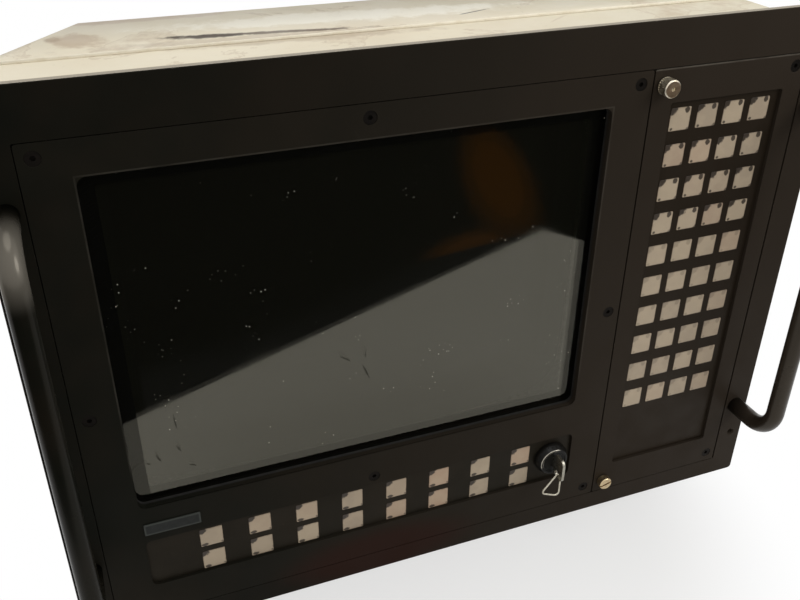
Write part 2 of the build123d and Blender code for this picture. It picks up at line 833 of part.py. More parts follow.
# Housing front part: four walls, front flange, tray that carries the boards
def make_housing_front():
    y = (ledge_t, straight_depth)
    tube = block(inner_x, y, inner_z)
    hollow_x = grown(inner_x, -sheet_t)
    hollow_z = grown(inner_z, -sheet_t)
    tube -= block(hollow_x, grown(y, overrun), hollow_z)
    flange_y = (ledge_t, ledge_t + sheet_t)
    inside_z = grown(inner_z, -housing_flange_w)
    for z in ((inner_z[0], inside_z[0]), (inside_z[1], inner_z[1])):
        tube += block(inner_x, flange_y, z)
    tab_z = (up(housing_tab_low), up(housing_tab_low + housing_tab_h))
    inside_x = grown(inner_x, -housing_flange_w)
    for x in ((inner_x[0], inside_x[0]), (inside_x[1], inner_x[1])):
        tube += block(x, flange_y, tab_z)
    tray = block((-tray_half_w, tray_half_w), (straight_depth - overrun, cover_depth - tray_back_gap), (inner_z[0], tray_top))
    tube += tray
    for place, side in housing_flange_screws() + cover_screw_places():
        tube -= pan_hole(place, side)
    return tube


def housing_flange_screws():
    z = grown(inner_z, -(housing_flange_w + sheet_t) / 2)
    xs = [inner_x[0] + share * (inner_x[1] - inner_x[0]) for share in flange_screw_shares]
    y = ledge_t + sheet_t
    return [((x, y, level), (0, 1, 0)) for x in xs for level in z]


def pan_hole(place, side):
    hole = Cylinder(pan_screw_d / 2 + screw_play, 2 * pan_screw_len)
    return Plane(origin=place, z_dir=side) * hole


# Rear cover: lapped over the front part, rear corners cut off, opening for the tube
def cover_outline(x, depth, rear_half):
    return [(x[0], straight_depth - lap), (x[0], straight_depth), (-rear_half, depth),
            (rear_half, depth), (x[1], straight_depth), (x[1], straight_depth - lap)]


def make_rear_cover():
    outer = Plane.XY.offset(cover_z[0]) * make_face(Polyline(cover_outline(cover_x, cover_depth, rear_half_w), close=True))
    cover = extrude(outer, cover_z[1] - cover_z[0])
    inside = cover_outline(inner_x, cover_depth - sheet_t, rear_half_w - sheet_t)
    inside[0] = (inner_x[0], straight_depth - lap - overrun)
    inside[-1] = (inner_x[1], straight_depth - lap - overrun)
    hollow = Plane.XY.offset(inner_z[0]) * make_face(Polyline(inside, close=True))
    cover -= extrude(hollow, inner_z[1] - inner_z[0])
    cover -= block(grown(hood_x, -2 * sheet_t), grown((cover_depth - sheet_t, cover_depth), overrun), grown(hood_z, -2 * sheet_t))
    for z in plug_levels():
        half_w = plug_shell_w / 2 + plug_hole_play
        half_h = plug_shell_h / 2 + plug_hole_play
        cover -= block((plug_x - half_w, plug_x + half_w), grown((cover_depth - sheet_t, cover_depth), overrun),
                       (z - half_h, z + half_h))
    cover -= rod(plug_x, up(stud_low), stud_d + 2 * screw_play, grown((cover_depth - sheet_t, cover_depth), overrun))
    for place, side in cover_screw_places() + hood_screw_places():
        cover -= pan_hole(place, side)
    return cover


def cover_screw_places():
    y = straight_depth - lap / 2
    step = (cover_z[1] - cover_z[0] - 2 * cover_screw_end) / (cover_screw_count - 1)
    zs = [cover_z[0] + cover_screw_end + i * step for i in range(cover_screw_count)]
    places = [((cover_x[0], y, z), (-1, 0, 0)) for z in zs]
    places += [((cover_x[1], y, z), (1, 0, 0)) for z in zs]
    places += [((side * floor_screw_dx / 2, y, cover_z[0]), (0, 0, -1)) for side in (-1, 1)]
    return places


# Rear hood, tapered to the rear, with vent slots above and below
def make_rear_hood():
    start = cover_depth + sheet_t
    end = cover_depth + hood_depth
    flange = slab(grown(hood_x, hood_flange_w), (cover_depth, start), grown(hood_z, hood_flange_w), hood_flange_corner_r)
    hood = flange + taper((hood_w, hood_h), (hood_end_w, hood_end_h), (start - sheet_t, end))
    inner_start = (hood_w - 2 * sheet_t, hood_h - 2 * sheet_t)
    inner_end = (hood_end_w - 2 * sheet_t, hood_end_h - 2 * sheet_t)
    hood -= taper(inner_start, inner_end, (cover_depth - overrun, end - sheet_t))
    vent_y = (start + vent_start, start + vent_start + vent_len)
    for i in range(vent_count):
        x = screen_x + (i - (vent_count - 1) / 2) * vent_pitch
        hood -= block((x - vent_w / 2, x + vent_w / 2), vent_y, grown(hood_z, overrun))
    for place, side in hood_screw_places():
        hood -= pan_hole(place, side)
    return hood


def taper(start, end, y):
    first = Plane.XZ.offset(-y[0]) * Pos(screen_x, screen_z) * Rectangle(*start)
    last = Plane.XZ.offset(-y[1]) * Pos(screen_x, screen_z) * Rectangle(*end)
    return loft([first, last], ruled=True)


def hood_screw_places():
    y = cover_depth + sheet_t
    return [((x, y, z), (0, 1, 0)) for x in grown(hood_x, hood_flange_w / 2) for z in grown(hood_z, hood_flange_w / 2)]


# Picture tube: hollow glass bulb with its neck
def bulb(wall):
    centre = Pos(screen_x, tube_front + tube_face_r, screen_z)
    half_w = tube_half_w - wall
    half_h = tube_half_h - wall
    x = (screen_x - half_w, screen_x + half_w)
    z = (screen_z - half_h, screen_z + half_h)
    panel = slab(x, (0, tube_skirt_end), z, tube_corner_r)
    panel &= centre * Sphere(tube_face_r - wall)
    rings = []
    neck_half = tube_neck_d / 2 - wall / 2
    shares = zip(tube_width_shares, tube_height_shares, tube_depth_shares, tube_corner_shares)
    for width, height, depth, corner in shares:
        y = tube_skirt_end + depth * (tube_neck_start - tube_skirt_end)
        rings.append(tube_ring(half_w * width, half_h * height, corner, y))
    rings.append(tube_ring(neck_half, neck_half, tube_round_share, tube_neck_start))
    funnel = loft(rings)
    neck = rod(screen_x, screen_z, 2 * neck_half, (tube_neck_start - overrun, tube_end - wall))
    return panel + funnel + neck


def tube_ring(half_w, half_h, corner, y):
    r = min(half_w, half_h) * corner
    return Plane.XZ.offset(-y) * Pos(screen_x, screen_z) * RectangleRounded(2 * half_w, 2 * half_h, r)


def make_crt_tube():
    return bulb(0) - bulb(tube_glass_t)


def make_crt_band():
    y = (band_front, band_front + band_w)
    inner_w = tube_half_w + touch_play
    inner_h = tube_half_h + touch_play
    outer = around_screen(inner_w + band_t, inner_h + band_t, y, tube_corner_r + touch_play + band_t)
    ear_y = (boss_end, boss_end + ear_t)
    for x, z in boss_places:
        reach_x = screen_x + (x - screen_x) * ear_root_share
        reach_z = screen_z + (z - screen_z) * ear_root_share
        outer += block(sorted((reach_x, x + (x - screen_x) / ear_dx * ear_w / 2)), ear_y,
                       sorted((reach_z, z + (z - screen_z) / ear_dz * ear_w / 2)))
    outer -= around_screen(inner_w, inner_h, grown(y, overrun), tube_corner_r + touch_play)
    for x, z in boss_places:
        outer -= rod(x, z, ear_hole_d, grown(ear_y, overrun))
    return outer


def around_screen(half_w, half_h, y, r):
    return slab((screen_x - half_w, screen_x + half_w), y, (screen_z - half_h, screen_z + half_h), r)


# Deflection yoke on the neck, neck board behind it
def make_deflection_yoke():
    neck_r = tube_neck_d / 2 + touch_play
    points = [(yoke_mouth_r, yoke_front), (yoke_front_r, yoke_front), (yoke_rear_r, yoke_rear),
              (neck_r, yoke_rear), (neck_r, yoke_front + yoke_cone)]
    section = Plane.XY * make_face(Polyline(points, close=True))
    return Pos(screen_x, 0, screen_z) * revolve(section, Axis.Y)


def make_neck_board():
    y0 = tube_end - neck_board_back
    half_w = neck_board_w / 2
    half_h = neck_board_h / 2
    board = block((screen_x - half_w, screen_x + half_w), (y0, y0 + board_t), (screen_z - half_h, screen_z + half_h))
    socket = rod(screen_x, screen_z, neck_socket_d, (y0 + board_t, tube_end + touch_play + board_t))
    neck_hole = rod(screen_x, screen_z, tube_neck_d + 2 * touch_play, (y0 - neck_socket_t, tube_end + touch_play))
    return [board - neck_hole, socket - neck_hole]


# Boards and power supply in the lower housing
board_x = (inner_x[0] + monitor_board_left_gap, inner_x[0] + monitor_board_left_gap + monitor_board_w)
monitor_y = (monitor_board_front, monitor_board_front + monitor_board_d)
monitor_z = (tray_top + standoff_h, tray_top + standoff_h + board_t)


def make_monitor_board():
    board = block(board_x, monitor_y, monitor_z)
    left = board_x[0] + capacitor_d
    back = monitor_y[1] - capacitor_d
    cans = [post(left + i * (capacitor_d + spacer_d), back, capacitor_d, (monitor_z[1], monitor_z[1] + capacitor_h))
            for i in range(capacitor_count)]
    sink_x = (board_x[0] + capacitor_d, board_x[0] + capacitor_d + heat_sink_w)
    sink = block(sink_x, (monitor_y[0] + capacitor_d, monitor_y[0] + capacitor_d + heat_sink_t),
                 (monitor_z[1], monitor_z[1] + heat_sink_h))
    return [board, sink] + cans


def make_line_transformer():
    x1 = board_x[1] - spacer_d
    y1 = monitor_y[1] - spacer_d
    base = block((x1 - line_w, x1), (y1 - line_d, y1), (monitor_z[1], monitor_z[1] + line_h))
    core = post(x1 - line_w / 2, y1 - line_d / 2, line_d - spacer_d, (monitor_z[1] + line_h, monitor_z[1] + line_h + spacer_d))
    return base + core


def make_power_supply():
    x = (supply_right - supply_w, supply_right)
    y = (supply_front, supply_front + supply_d)
    z = (tray_top, tray_top + supply_h)
    case = block(x, y, z) - block(grown(x, -supply_t), grown(y, -supply_t), grown(z, -supply_t))
    for i in range(supply_vent_count):
        level = z[0] + vent_start + i * vent_pitch
        case -= block(grown(x, -vent_pitch), (y[0] - overrun, y[0] + supply_t + overrun), (level, level + vent_w))
    return case


interface_y = (cover_depth - sheet_t - interface_gap - board_t, cover_depth - sheet_t - interface_gap)
interface_x = (interface_right - interface_w, interface_right)
interface_z = (up(interface_low), up(interface_low + interface_h))
plug_x = middle_of(interface_x)


def plug_levels():
    return [middle_of(interface_z) + side * plug_pitch / 2 for side in (-1, 1)]


def make_interface_board():
    return slab(interface_x, interface_y, interface_z, board_margin)


def make_board_spacers():
    spacers = [rod(x, z, spacer_d, (0, board_front)) for x, z in soft_spacer_places]
    for x in grown(board_x, -standoff_d):
        for y in grown(monitor_y, -standoff_d):
            spacers.append(post(x, y, standoff_d, (tray_top, monitor_z[0])))
    for x in grown(interface_x, -standoff_d):
        for z in grown(interface_z, -standoff_d):
            spacers.append(rod(x, z, standoff_d, (interface_y[1], cover_depth - sheet_t)))
    return spacers


def make_signal_connectors():
    wall = cover_depth - sheet_t
    solids = []
    for z in plug_levels():
        body = block((plug_x - plug_body_w / 2, plug_x + plug_body_w / 2), (interface_y[1], wall),
                     (z - plug_body_h / 2, z + plug_body_h / 2))
        shell = slab((plug_x - plug_shell_w / 2, plug_x + plug_shell_w / 2), (wall - overrun, cover_depth + plug_shell_out),
                     (z - plug_shell_h / 2, z + plug_shell_h / 2), plug_shell_corner_r)
        solids.append(body + shell)
        for side in (-1, 1):
            solids.append(hexagon(plug_x + side * jack_dx / 2, z, jack_d, (cover_depth, cover_depth + plug_shell_out)))
    return solids


def make_mains_terminals():
    x = (plug_x - terminal_w / 2, plug_x + terminal_w / 2)
    z = (up(terminal_low), up(terminal_low) + terminal_h)
    base = block(x, (cover_depth, cover_depth + terminal_d), z)
    step = block(grown(x, overrun), (cover_depth + terminal_d / 2, cover_depth + terminal_d + overrun),
                 (middle_of(z), z[1] + overrun))
    base -= step
    for i in range(terminal_ways):
        px = middle_of(x) + (i - (terminal_ways - 1) / 2) * terminal_w / terminal_ways
        base -= rod(px, z[0] + terminal_h / 4, terminal_screw_d,
                    (cover_depth + terminal_d - terminal_screw_t, cover_depth + terminal_d + overrun))
    return base


def make_earth_stud():
    z = up(stud_low)
    stud = rod(plug_x, z, stud_d, (cover_depth - 2 * sheet_t, cover_depth + stud_nut_t + stud_len))
    flange = rod(plug_x, z, stud_nut_w, (cover_depth - 2 * sheet_t, cover_depth - sheet_t))
    nut = hexagon(plug_x, z, stud_nut_w, (cover_depth, cover_depth + stud_nut_t))
    nut -= rod(plug_x, z, stud_d + 2 * screw_play, grown((cover_depth, cover_depth + stud_nut_t), overrun))
    return [stud + flange, nut]


def make_cover_screws():
    return [pan_screw(place, side) for place, side in cover_screw_places() + hood_screw_places()]


def make_chassis_screws():
    places = [((x, boss_end + ear_t, z), (0, 1, 0)) for x, z in boss_places]
    places += housing_flange_screws() + retainer_screws()
    return [pan_screw(place, side) for place, side in places]


# Write every piece
def main():
    os.makedirs("parts", exist_ok=True)
    save("front_frame", make_front_frame())
    save("screen_bezel", make_screen_bezel())
    save("bezel_screws", *make_bezel_screws())
    save("name_plate", make_name_plate())
    save("screen_glass", make_screen_glass())
    save("glass_gasket", make_glass_gasket())
    save("glass_retainer", make_glass_retainer())
    save("key_door", make_key_door())
    save("door_fascia", make_foil(door_pocket_x, door_pocket_z, door_pocket_corner_r, door_places))
    save("door_keys", *[make_key(x, z) for x, z in door_places])
    save("door_key_board", *make_door_key_board())
    save("door_pan", make_door_pan())
    save("hinge_screws", *make_hinge_screws())
    save("hinge_pins", *make_hinge_pins())
    save("door_screw_top", make_door_screw_top())
    save("door_screw_bottom", make_door_screw_bottom())
    save("softkey_fascia", make_softkey_fascia())
    for number, (x, z) in enumerate(soft_places, start=1):
        save(f"soft_key_{number:02d}", make_key(x, z))
    save("softkey_board", *make_softkey_board())
    save("key_switch_body", make_key_switch_body())
    save("key_switch_nut", make_key_switch_nut())
    save("key_switch_rotor", make_key_switch_rotor())
    save("switch_contacts", make_switch_contacts())
    save("switch_key", make_switch_key())
    save("key_ring", make_key_ring())
    save("handle_left", make_handle(-1))
    save("handle_right", make_handle(1))
    save("handle_screws", *make_handle_screws())
    save("housing_front", make_housing_front())
    save("rear_cover", make_rear_cover())
    save("rear_hood", make_rear_hood())
    save("cover_screws", *make_cover_screws())
    save("crt_tube", make_crt_tube())
    save("crt_band", make_crt_band())
    save("deflection_yoke", make_deflection_yoke())
    save("neck_board", *make_neck_board())
    save("monitor_board", *make_monitor_board())
    save("line_transformer", make_line_transformer())
    save("power_supply", make_power_supply())
    save("interface_board", make_interface_board())
    save("board_spacers", *make_board_spacers())
    save("signal_connectors", *make_signal_connectors())
    save("mains_terminals", make_mains_terminals())
    save("earth_stud", *make_earth_stud())
    save("chassis_screws", *make_chassis_screws())


main()
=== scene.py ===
"""Machine operator panel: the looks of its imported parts, in metres, in the part's own frame."""

import json
import math

import bmesh
import bpy
from mathutils import Matrix, Vector

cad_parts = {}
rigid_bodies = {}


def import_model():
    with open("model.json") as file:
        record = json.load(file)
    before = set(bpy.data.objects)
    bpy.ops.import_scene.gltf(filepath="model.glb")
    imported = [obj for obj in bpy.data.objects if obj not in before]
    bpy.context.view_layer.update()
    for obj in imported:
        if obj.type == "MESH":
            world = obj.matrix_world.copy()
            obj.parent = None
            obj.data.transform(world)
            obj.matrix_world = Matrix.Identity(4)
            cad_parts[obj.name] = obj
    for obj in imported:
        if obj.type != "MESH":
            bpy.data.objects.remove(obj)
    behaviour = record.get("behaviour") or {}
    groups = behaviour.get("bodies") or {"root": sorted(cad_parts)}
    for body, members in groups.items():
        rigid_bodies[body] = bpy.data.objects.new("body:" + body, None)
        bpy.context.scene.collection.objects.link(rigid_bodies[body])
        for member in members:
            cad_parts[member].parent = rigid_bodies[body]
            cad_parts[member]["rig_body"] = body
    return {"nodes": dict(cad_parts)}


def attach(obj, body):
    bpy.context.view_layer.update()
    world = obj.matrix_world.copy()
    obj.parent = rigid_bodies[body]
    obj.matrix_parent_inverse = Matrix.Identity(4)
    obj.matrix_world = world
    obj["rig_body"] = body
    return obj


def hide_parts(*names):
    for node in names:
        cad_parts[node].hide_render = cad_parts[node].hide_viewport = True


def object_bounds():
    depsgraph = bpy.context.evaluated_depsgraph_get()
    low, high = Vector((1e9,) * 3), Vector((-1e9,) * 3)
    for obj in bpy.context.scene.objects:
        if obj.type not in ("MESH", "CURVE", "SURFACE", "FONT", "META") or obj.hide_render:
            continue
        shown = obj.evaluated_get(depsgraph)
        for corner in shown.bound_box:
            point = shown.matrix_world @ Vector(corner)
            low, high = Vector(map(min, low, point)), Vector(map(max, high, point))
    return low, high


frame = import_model()
nodes = frame["nodes"]
cad_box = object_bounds()

MM = 0.001
FLOOR_Z = cad_box[0].z

# Places on the panel: a point is (x, z), a box is (low x, low z, high x, high z).
WINDOW = (-0.1977, -0.0752, 0.0893, 0.1312)
CLEAR_GLASS = (-0.1897, -0.0772, 0.0813, 0.1232)
BELOW_DOOR_TOP = (0.1, -0.2, 0.3, 0.1492)
LOCK_MIDDLE = (0.0756, -0.118)
TUBE_MIDDLE = (-0.0542, 0.028)
HOUSING_TOP = 0.168


def box_about(middle, half):
    """The box with that middle and those half sides."""
    return (middle[0] - half[0], middle[1] - half[1], middle[0] + half[0], middle[1] + half[1])


NAME_PLATE = box_about((-0.1805, -0.0913), (0.0165, 0.0041))
PHOSPHOR = box_about(TUBE_MIDDLE, (0.1308, 0.0965))


# ---------------------------------------------------------------- finishes


SOCKETS = {
    "colour": "Base Color",
    "metal": "Metallic",
    "rough": "Roughness",
    "ior": "IOR",
    "specular": "Specular IOR Level",
    "tint": "Specular Tint",
    "alpha": "Alpha",
    "normal": "Normal",
}


class Recipe:
    """The nodes of one finish, mixed step by step on the piece's own coordinates."""

    def __init__(self, name, **values):
        self.finish = bpy.data.materials.new(name)
        self.finish.use_nodes = True
        self.tree = self.finish.node_tree
        self.shader = self.tree.nodes["Principled BSDF"]
        self.place = self.add("ShaderNodeTexCoord").outputs["Object"]
        self.set(**values)

    def set(self, **values):
        """Feeds the shader's sockets, by the words of SOCKETS."""
        for word, value in values.items():
            self.feed(self.shader.inputs[SOCKETS[word]], value)
        return self.finish

    def feed(self, socket, value):
        """Links another node's output to the socket, or sets a plain value on it."""
        if isinstance(value, bpy.types.NodeSocket):
            self.tree.links.new(value, socket)
        elif socket.type == "RGBA":
            socket.default_value = (*value, 1.0)
        else:
            socket.default_value = value

    def add(self, kind, inputs=None, **settings):
        """Adds a node with those settings and feeds its inputs."""
        node = self.tree.nodes.new(kind)
        for key, value in settings.items():
            setattr(node, key, value)
        for socket, value in (inputs or {}).items():
            self.feed(node.inputs[socket], value)
        return node

    def maths(self, operation, a, b=0.0):
        return self.add("ShaderNodeMath", {0: a, 1: b}, operation=operation).outputs[0]

    def plus(self, a, b):
        return self.maths("ADD", a, b)

    def minus(self, a, b):
        return self.maths("SUBTRACT", a, b)

    def times(self, a, b):
        return self.maths("MULTIPLY", a, b)

    def most(self, a, b):
        return self.maths("MAXIMUM", a, b)

    def share(self, value, low, high, start=0.0, end=1.0):
        """start where value is below low, end where it is above high, smooth between."""
        node = self.add(
            "ShaderNodeMapRange",
            {"Value": value, "From Min": low, "From Max": high, "To Min": start, "To Max": end},
            interpolation_type="SMOOTHSTEP",
        )
        return node.outputs[0]

    def below(self, value, low, high, start=1.0):
        """start where value is below low, 0 where it is above high, smooth between."""
        return self.share(value, low, high, start, 0.0)

    def layer(self, part, under, over):
        """The colour over on top of under, where part is 1."""
        node = self.add("ShaderNodeMix", data_type="RGBA")
        self.feed(node.inputs[0], part)
        self.feed(node.inputs[6], under)
        self.feed(node.inputs[7], over)
        return node.outputs[2]

    def axis(self, letter):
        return self.add("ShaderNodeSeparateXYZ", {0: self.place}).outputs[letter]

    def moved(self, centre=(0, 0, 0), stretch=(1, 1, 1), turn=(0, 0, 0)):
        """The piece's coordinates counted from centre, turned, then stretched."""
        offset = self.add("ShaderNodeVectorMath", {0: self.place, 1: centre}, operation="SUBTRACT")
        turned = self.add("ShaderNodeMapping", {"Vector": offset.outputs[0], "Rotation": turn})
        scaled = self.add(
            "ShaderNodeVectorMath", {0: turned.outputs[0], 1: stretch}, operation="MULTIPLY"
        )
        return scaled.outputs[0]

    def noise(self, scale, detail=3.0, rough=0.5, where=None, distortion=0.0):
        """Clouds with about that many to the metre, between 0 and 1."""
        node = self.add(
            "ShaderNodeTexNoise",
            {
                "Vector": where or self.place,
                "Scale": scale,
                "Detail": detail,
                "Roughness": rough,
                "Distortion": distortion,
            },
        )
        return node.outputs["Fac"]

    def wobble(self, scale, detail, rough, reach):
        """Noise about 0, to make an outline uneven."""
        return self.times(self.minus(self.noise(scale, detail, rough), 0.5), reach)

    def cells(self, scale, feature="F1", where=None):
        """Distance to the nearest of about that many points to the metre, or to its cell's edge."""
        node = self.add(
            "ShaderNodeTexVoronoi", {"Vector": where or self.place, "Scale": scale}, feature=feature
        )
        return node.outputs["Distance"]

    def reach(self, centre, size, turn=(0, 0, 0)):
        """0 at the middle of a turned egg of that size, 1 on its skin, more outside it."""
        near = self.moved(centre, [1 / s for s in size], turn)
        return self.add("ShaderNodeVectorMath", {0: near}, operation="LENGTH").outputs["Value"]

    def blot(self, centre, size, soft=0.6, turn=0.0):
        """1 inside an egg of that size about centre, turned about Z, 0 outside it."""
        return self.below(self.reach(centre, size, (0, 0, turn)), 1 - soft, 1)

    def past_box(self, box):
        """How far outside that upright box a point lies, below 0 inside it."""
        low_x, low_z, high_x, high_z = box
        far = []
        for letter, low, high in (("X", low_x, high_x), ("Z", low_z, high_z)):
            off = self.maths("ABSOLUTE", self.minus(self.axis(letter), (low + high) / 2))
            far.append(self.minus(off, (high - low) / 2))
        return self.most(*far)

    def bump(self, height, depth, strength=1.0):
        """Relief of depth metres where height goes from 0 to 1."""
        inputs = {"Height": height, "Distance": depth, "Strength": strength}
        return self.add("ShaderNodeBump", inputs).outputs[0]


RIGHT_SIDE_LIGHT_BROWN = (0.027, 0.0205, 0.015)
RED_DUST = (0.022, 0.0085, 0.0058)
PAINT_SPECK = (0.09, 0.08, 0.06)
PAINT_SCRATCH = (0.06, 0.052, 0.04)
THIN_PAINT = (0.03, 0.026, 0.02)
RUBBED_METAL_AND_HIGHLIGHT = (0.3, 0.275, 0.23)
SATIN = (0.42, 0.6)
RED_DUST_AT, RED_DUST_SIZE = (-0.05, 0, -0.162), (0.085, 0.1, 0.026)
HIGHLIGHT_PATCH_SIZE = (0.03, 0.03, 0.024)
PLATE_TOP_EDGE = (0.17725, 0.17737)
LIP_STARTS, LIP_ENDS, LIP_FADE = (0, 0.0001), (0.0008, 0.001), 0.02


def black_paint(name, dark, brown, rough=SATIN, bare=0.0, gloss=0.05, painted_highlight_at=None, lip=None):
    """Old satin black paint with brown dust in clouds, specks and fine scratches.

    bare is the share rubbed off. painted_highlight_at is a place where a pale metal patch is
    painted as a highlight, and lip a painted highlight line round a box: the box, the height from
    which the line shows, and how strong it is.
    """
    mix = Recipe(name, specular=gloss, tint=(1.0, 0.9, 0.74))
    colour = mix.layer(mix.share(mix.noise(9, 4, 0.6), 0.38, 0.68), dark, brown)
    # Paler brown towards the right: painted light, as if more light fell on that side.
    colour = mix.layer(mix.share(mix.axis("X"), -0.24, 0.24), colour, RIGHT_SIDE_LIGHT_BROWN)
    low_middle = mix.blot(RED_DUST_AT, RED_DUST_SIZE)
    colour = mix.layer(mix.times(low_middle, 0.85), colour, RED_DUST)
    speck = mix.times(
        mix.below(mix.cells(230), 0.0, 0.085), mix.share(mix.noise(160, 2), 0.6, 0.66)
    )
    colour = mix.layer(mix.times(speck, 0.3), colour, PAINT_SPECK)
    streaks = mix.noise(55, 5, 0.7, mix.moved((0, 0, 0), (9, 1, 0.7), (0, 0.5, 0)), 1.2)
    scratch = mix.times(mix.share(streaks, 0.69, 0.735), mix.share(mix.noise(14), 0.5, 0.62))
    colour = mix.layer(mix.times(scratch, 0.3), colour, PAINT_SCRATCH)
    patches = mix.noise(190, 5, 0.68)
    top_edge = mix.share(mix.axis("Z"), *PLATE_TOP_EDGE)
    rubbed = mix.times(top_edge, mix.share(patches, 0.24, 0.36))
    if bare:
        worn = mix.share(patches, 0.78 - 0.5 * bare, 0.83 - 0.5 * bare)
        colour = mix.layer(0.6, colour, THIN_PAINT)
        rubbed = mix.most(rubbed, worn)
    # A pale line painted just outside the box's edges, from from_z up, as a highlight.
    if lip:
        box, from_z, strength = lip
        away = mix.past_box(box)
        strip = mix.times(mix.share(away, *LIP_STARTS), mix.below(away, *LIP_ENDS))
        strip = mix.times(strip, mix.share(mix.axis("Z"), from_z, from_z + LIP_FADE))
        patchy = mix.share(mix.noise(60, 3), 0.3, 0.65, 0.35, 1.0)
        rubbed = mix.most(rubbed, mix.times(strip, mix.times(patchy, strength)))
    # A pale metal patch painted at that place as a highlight.
    if painted_highlight_at:
        highlight_patch = mix.blot(painted_highlight_at, HIGHLIGHT_PATCH_SIZE, 0.8)
        rubbed = mix.most(rubbed, mix.times(highlight_patch, 0.42))
    # rubbed holds worn metal and the painted highlights, all in the pale metal colour.
    return mix.set(
        colour=mix.layer(rubbed, colour, RUBBED_METAL_AND_HIGHLIGHT),
        rough=mix.share(mix.noise(38, 4, 0.65), 0.3, 0.75, *rough),
        normal=mix.bump(mix.noise(1100, 3, 0.6), 0.00005, 0.4),
        metal=mix.times(rubbed, 0.6),
    )


CREAM, YELLOWED_CREAM, GREYED_CREAM = (0.7, 0.64, 0.5), (0.62, 0.55, 0.42), (0.56, 0.52, 0.4)
STAIN_BROWN, STAIN_RIM = (0.42, 0.32, 0.23), (0.36, 0.26, 0.18)
CREAM_SPECK, CREAM_GREY, CREAM_BARE = (0.1, 0.08, 0.055), (0.25, 0.22, 0.18), (0.36, 0.32, 0.26)
TOP_MARK_DEPTH = 0.02

# Marks on the housing's top: brown stains, a dent's painted highlight (first row) and its painted
# shadows (second, sixth and seventh rows); x, y, half length and half width in mm, strength, tone,
# turn.
TOP_STAINS_AND_DENT_LIGHT = (
    (-35, 98, 125, 16, 0.75, (0.86, 0.83, 0.72), 0.06),
    (-85, 66, 110, 10, 0.6, (0.42, 0.35, 0.26), 0.06),
    (-150, 129, 60, 7, 0.4, (0.45, 0.32, 0.26), 0.0),
    (-184, 94, 17, 21, 0.62, (0.4, 0.29, 0.19), -0.3),
    (-196, 100, 6, 6, 0.5, (0.3, 0.21, 0.13), 0.0),
    (-84, 76.5, 64, 3.6, 0.88, (0.075, 0.046, 0.022), 0.133),
    (-116, 79.5, 28, 5.2, 0.97, (0.034, 0.021, 0.01), 0.133),
    (43, 83, 14, 0.9, 1.0, (0.06, 0.05, 0.035), -0.33),
)


def cream_paint(name, bare=0.0):
    """Cream sheet metal paint, greyed to the right, with brown stains on its top and the painted
    shade and highlight of a dent there.

    bare is the share rubbed off.
    """
    mix = Recipe(name, specular=0.25, tint=(1.0, 0.9, 0.75))
    colour = mix.layer(mix.share(mix.noise(6, 3), 0.35, 0.7), CREAM, YELLOWED_CREAM)
    right_side = mix.share(mix.axis("X"), -0.02, 0.2)
    colour = mix.layer(mix.times(right_side, 0.6), colour, GREYED_CREAM)
    clouds = mix.noise(13, 6, 0.62, distortion=0.8)
    stain = mix.times(mix.share(clouds, 0.53, 0.6), mix.share(mix.noise(30, 5, 0.7), 0.4, 0.62))
    colour = mix.layer(mix.times(stain, 0.45), colour, STAIN_BROWN)
    rim = mix.times(mix.share(clouds, 0.525, 0.54), mix.below(clouds, 0.54, 0.565))
    colour = mix.layer(mix.times(rim, 0.3), colour, STAIN_RIM)
    wander = mix.wobble(70, 5, 0.65, 1.5)
    # Stains, and a dent's painted shadow and highlight, laid on the cream.
    for x, y, long, wide, strength, tone, turn in TOP_STAINS_AND_DENT_LIGHT:
        size = (long * MM, wide * MM, TOP_MARK_DEPTH)
        far = mix.reach((x * MM, y * MM, HOUSING_TOP), size, (0, 0, turn))
        colour = mix.layer(mix.below(mix.plus(far, wander), 0.5, 1.0, strength), colour, tone)
    speck = mix.times(mix.below(mix.cells(60), 0.0, 0.06), mix.share(mix.noise(50, 2), 0.5, 0.55))
    colour = mix.layer(mix.times(speck, 0.8), colour, CREAM_SPECK)
    grey = mix.share(mix.noise(240, 4, 0.6), 0.6, 0.75)
    colour = mix.layer(mix.times(grey, 0.12), colour, CREAM_GREY)
    metal = 0.0
    if bare:
        rubbed = mix.share(mix.noise(150, 5, 0.7), 0.66 - 0.3 * bare, 0.7 - 0.3 * bare)
        colour = mix.layer(rubbed, colour, CREAM_BARE)
        metal = mix.times(rubbed, 0.5)
    return mix.set(
        colour=colour,
        rough=mix.share(mix.noise(30, 4), 0.3, 0.7, 0.42, 0.62),
        normal=mix.bump(mix.noise(900, 2), 0.00005, 0.5),
        metal=metal,
    )


def plated(name, colour, dull, rough=(0.22, 0.42), spots=0.3):
    """Plated metal with dull clouds and small dark spots."""
    mix = Recipe(name, metal=1.0, specular=0.5)
    tone = mix.layer(mix.share(mix.noise(300, 4, 0.6), 0.4, 0.68), colour, dull)
    pits = mix.share(mix.noise(1500, 3, 0.6), 0.63, 0.72)
    return mix.set(
        colour=mix.layer(mix.times(pits, spots), tone, [c * 0.3 for c in dull]),
        rough=mix.share(mix.noise(700, 4, 0.6), 0.3, 0.7, *rough),
        normal=mix.bump(mix.noise(2600, 2), 0.00002, 0.4),
    )


def moulded(name, colour, worn, rough=(0.4, 0.58), specular=0.4):
    """Moulded plastic, rubber or blackened metal with a fine eroded grain."""
    mix = Recipe(name, specular=specular)
    return mix.set(
        colour=mix.layer(mix.share(mix.noise(120, 4, 0.6), 0.4, 0.7), colour, worn),
        rough=mix.share(mix.noise(260, 3), 0.3, 0.7, *rough),
        normal=mix.bump(mix.cells(1900), 0.00003, 0.5),
    )


KEY_PALE, KEY_DARK, KEY_CLOUD = (0.41, 0.33, 0.235), (0.355, 0.285, 0.205), (0.46, 0.37, 0.26)
KEY_BLUSH, KEY_RIM_DARK, KEY_MARK = (0.43, 0.28, 0.19), (0.12, 0.085, 0.058), (0.026, 0.018, 0.0125)
FAINT_FROM_ROW, OWN_TONE_SEED = -3, 0.37

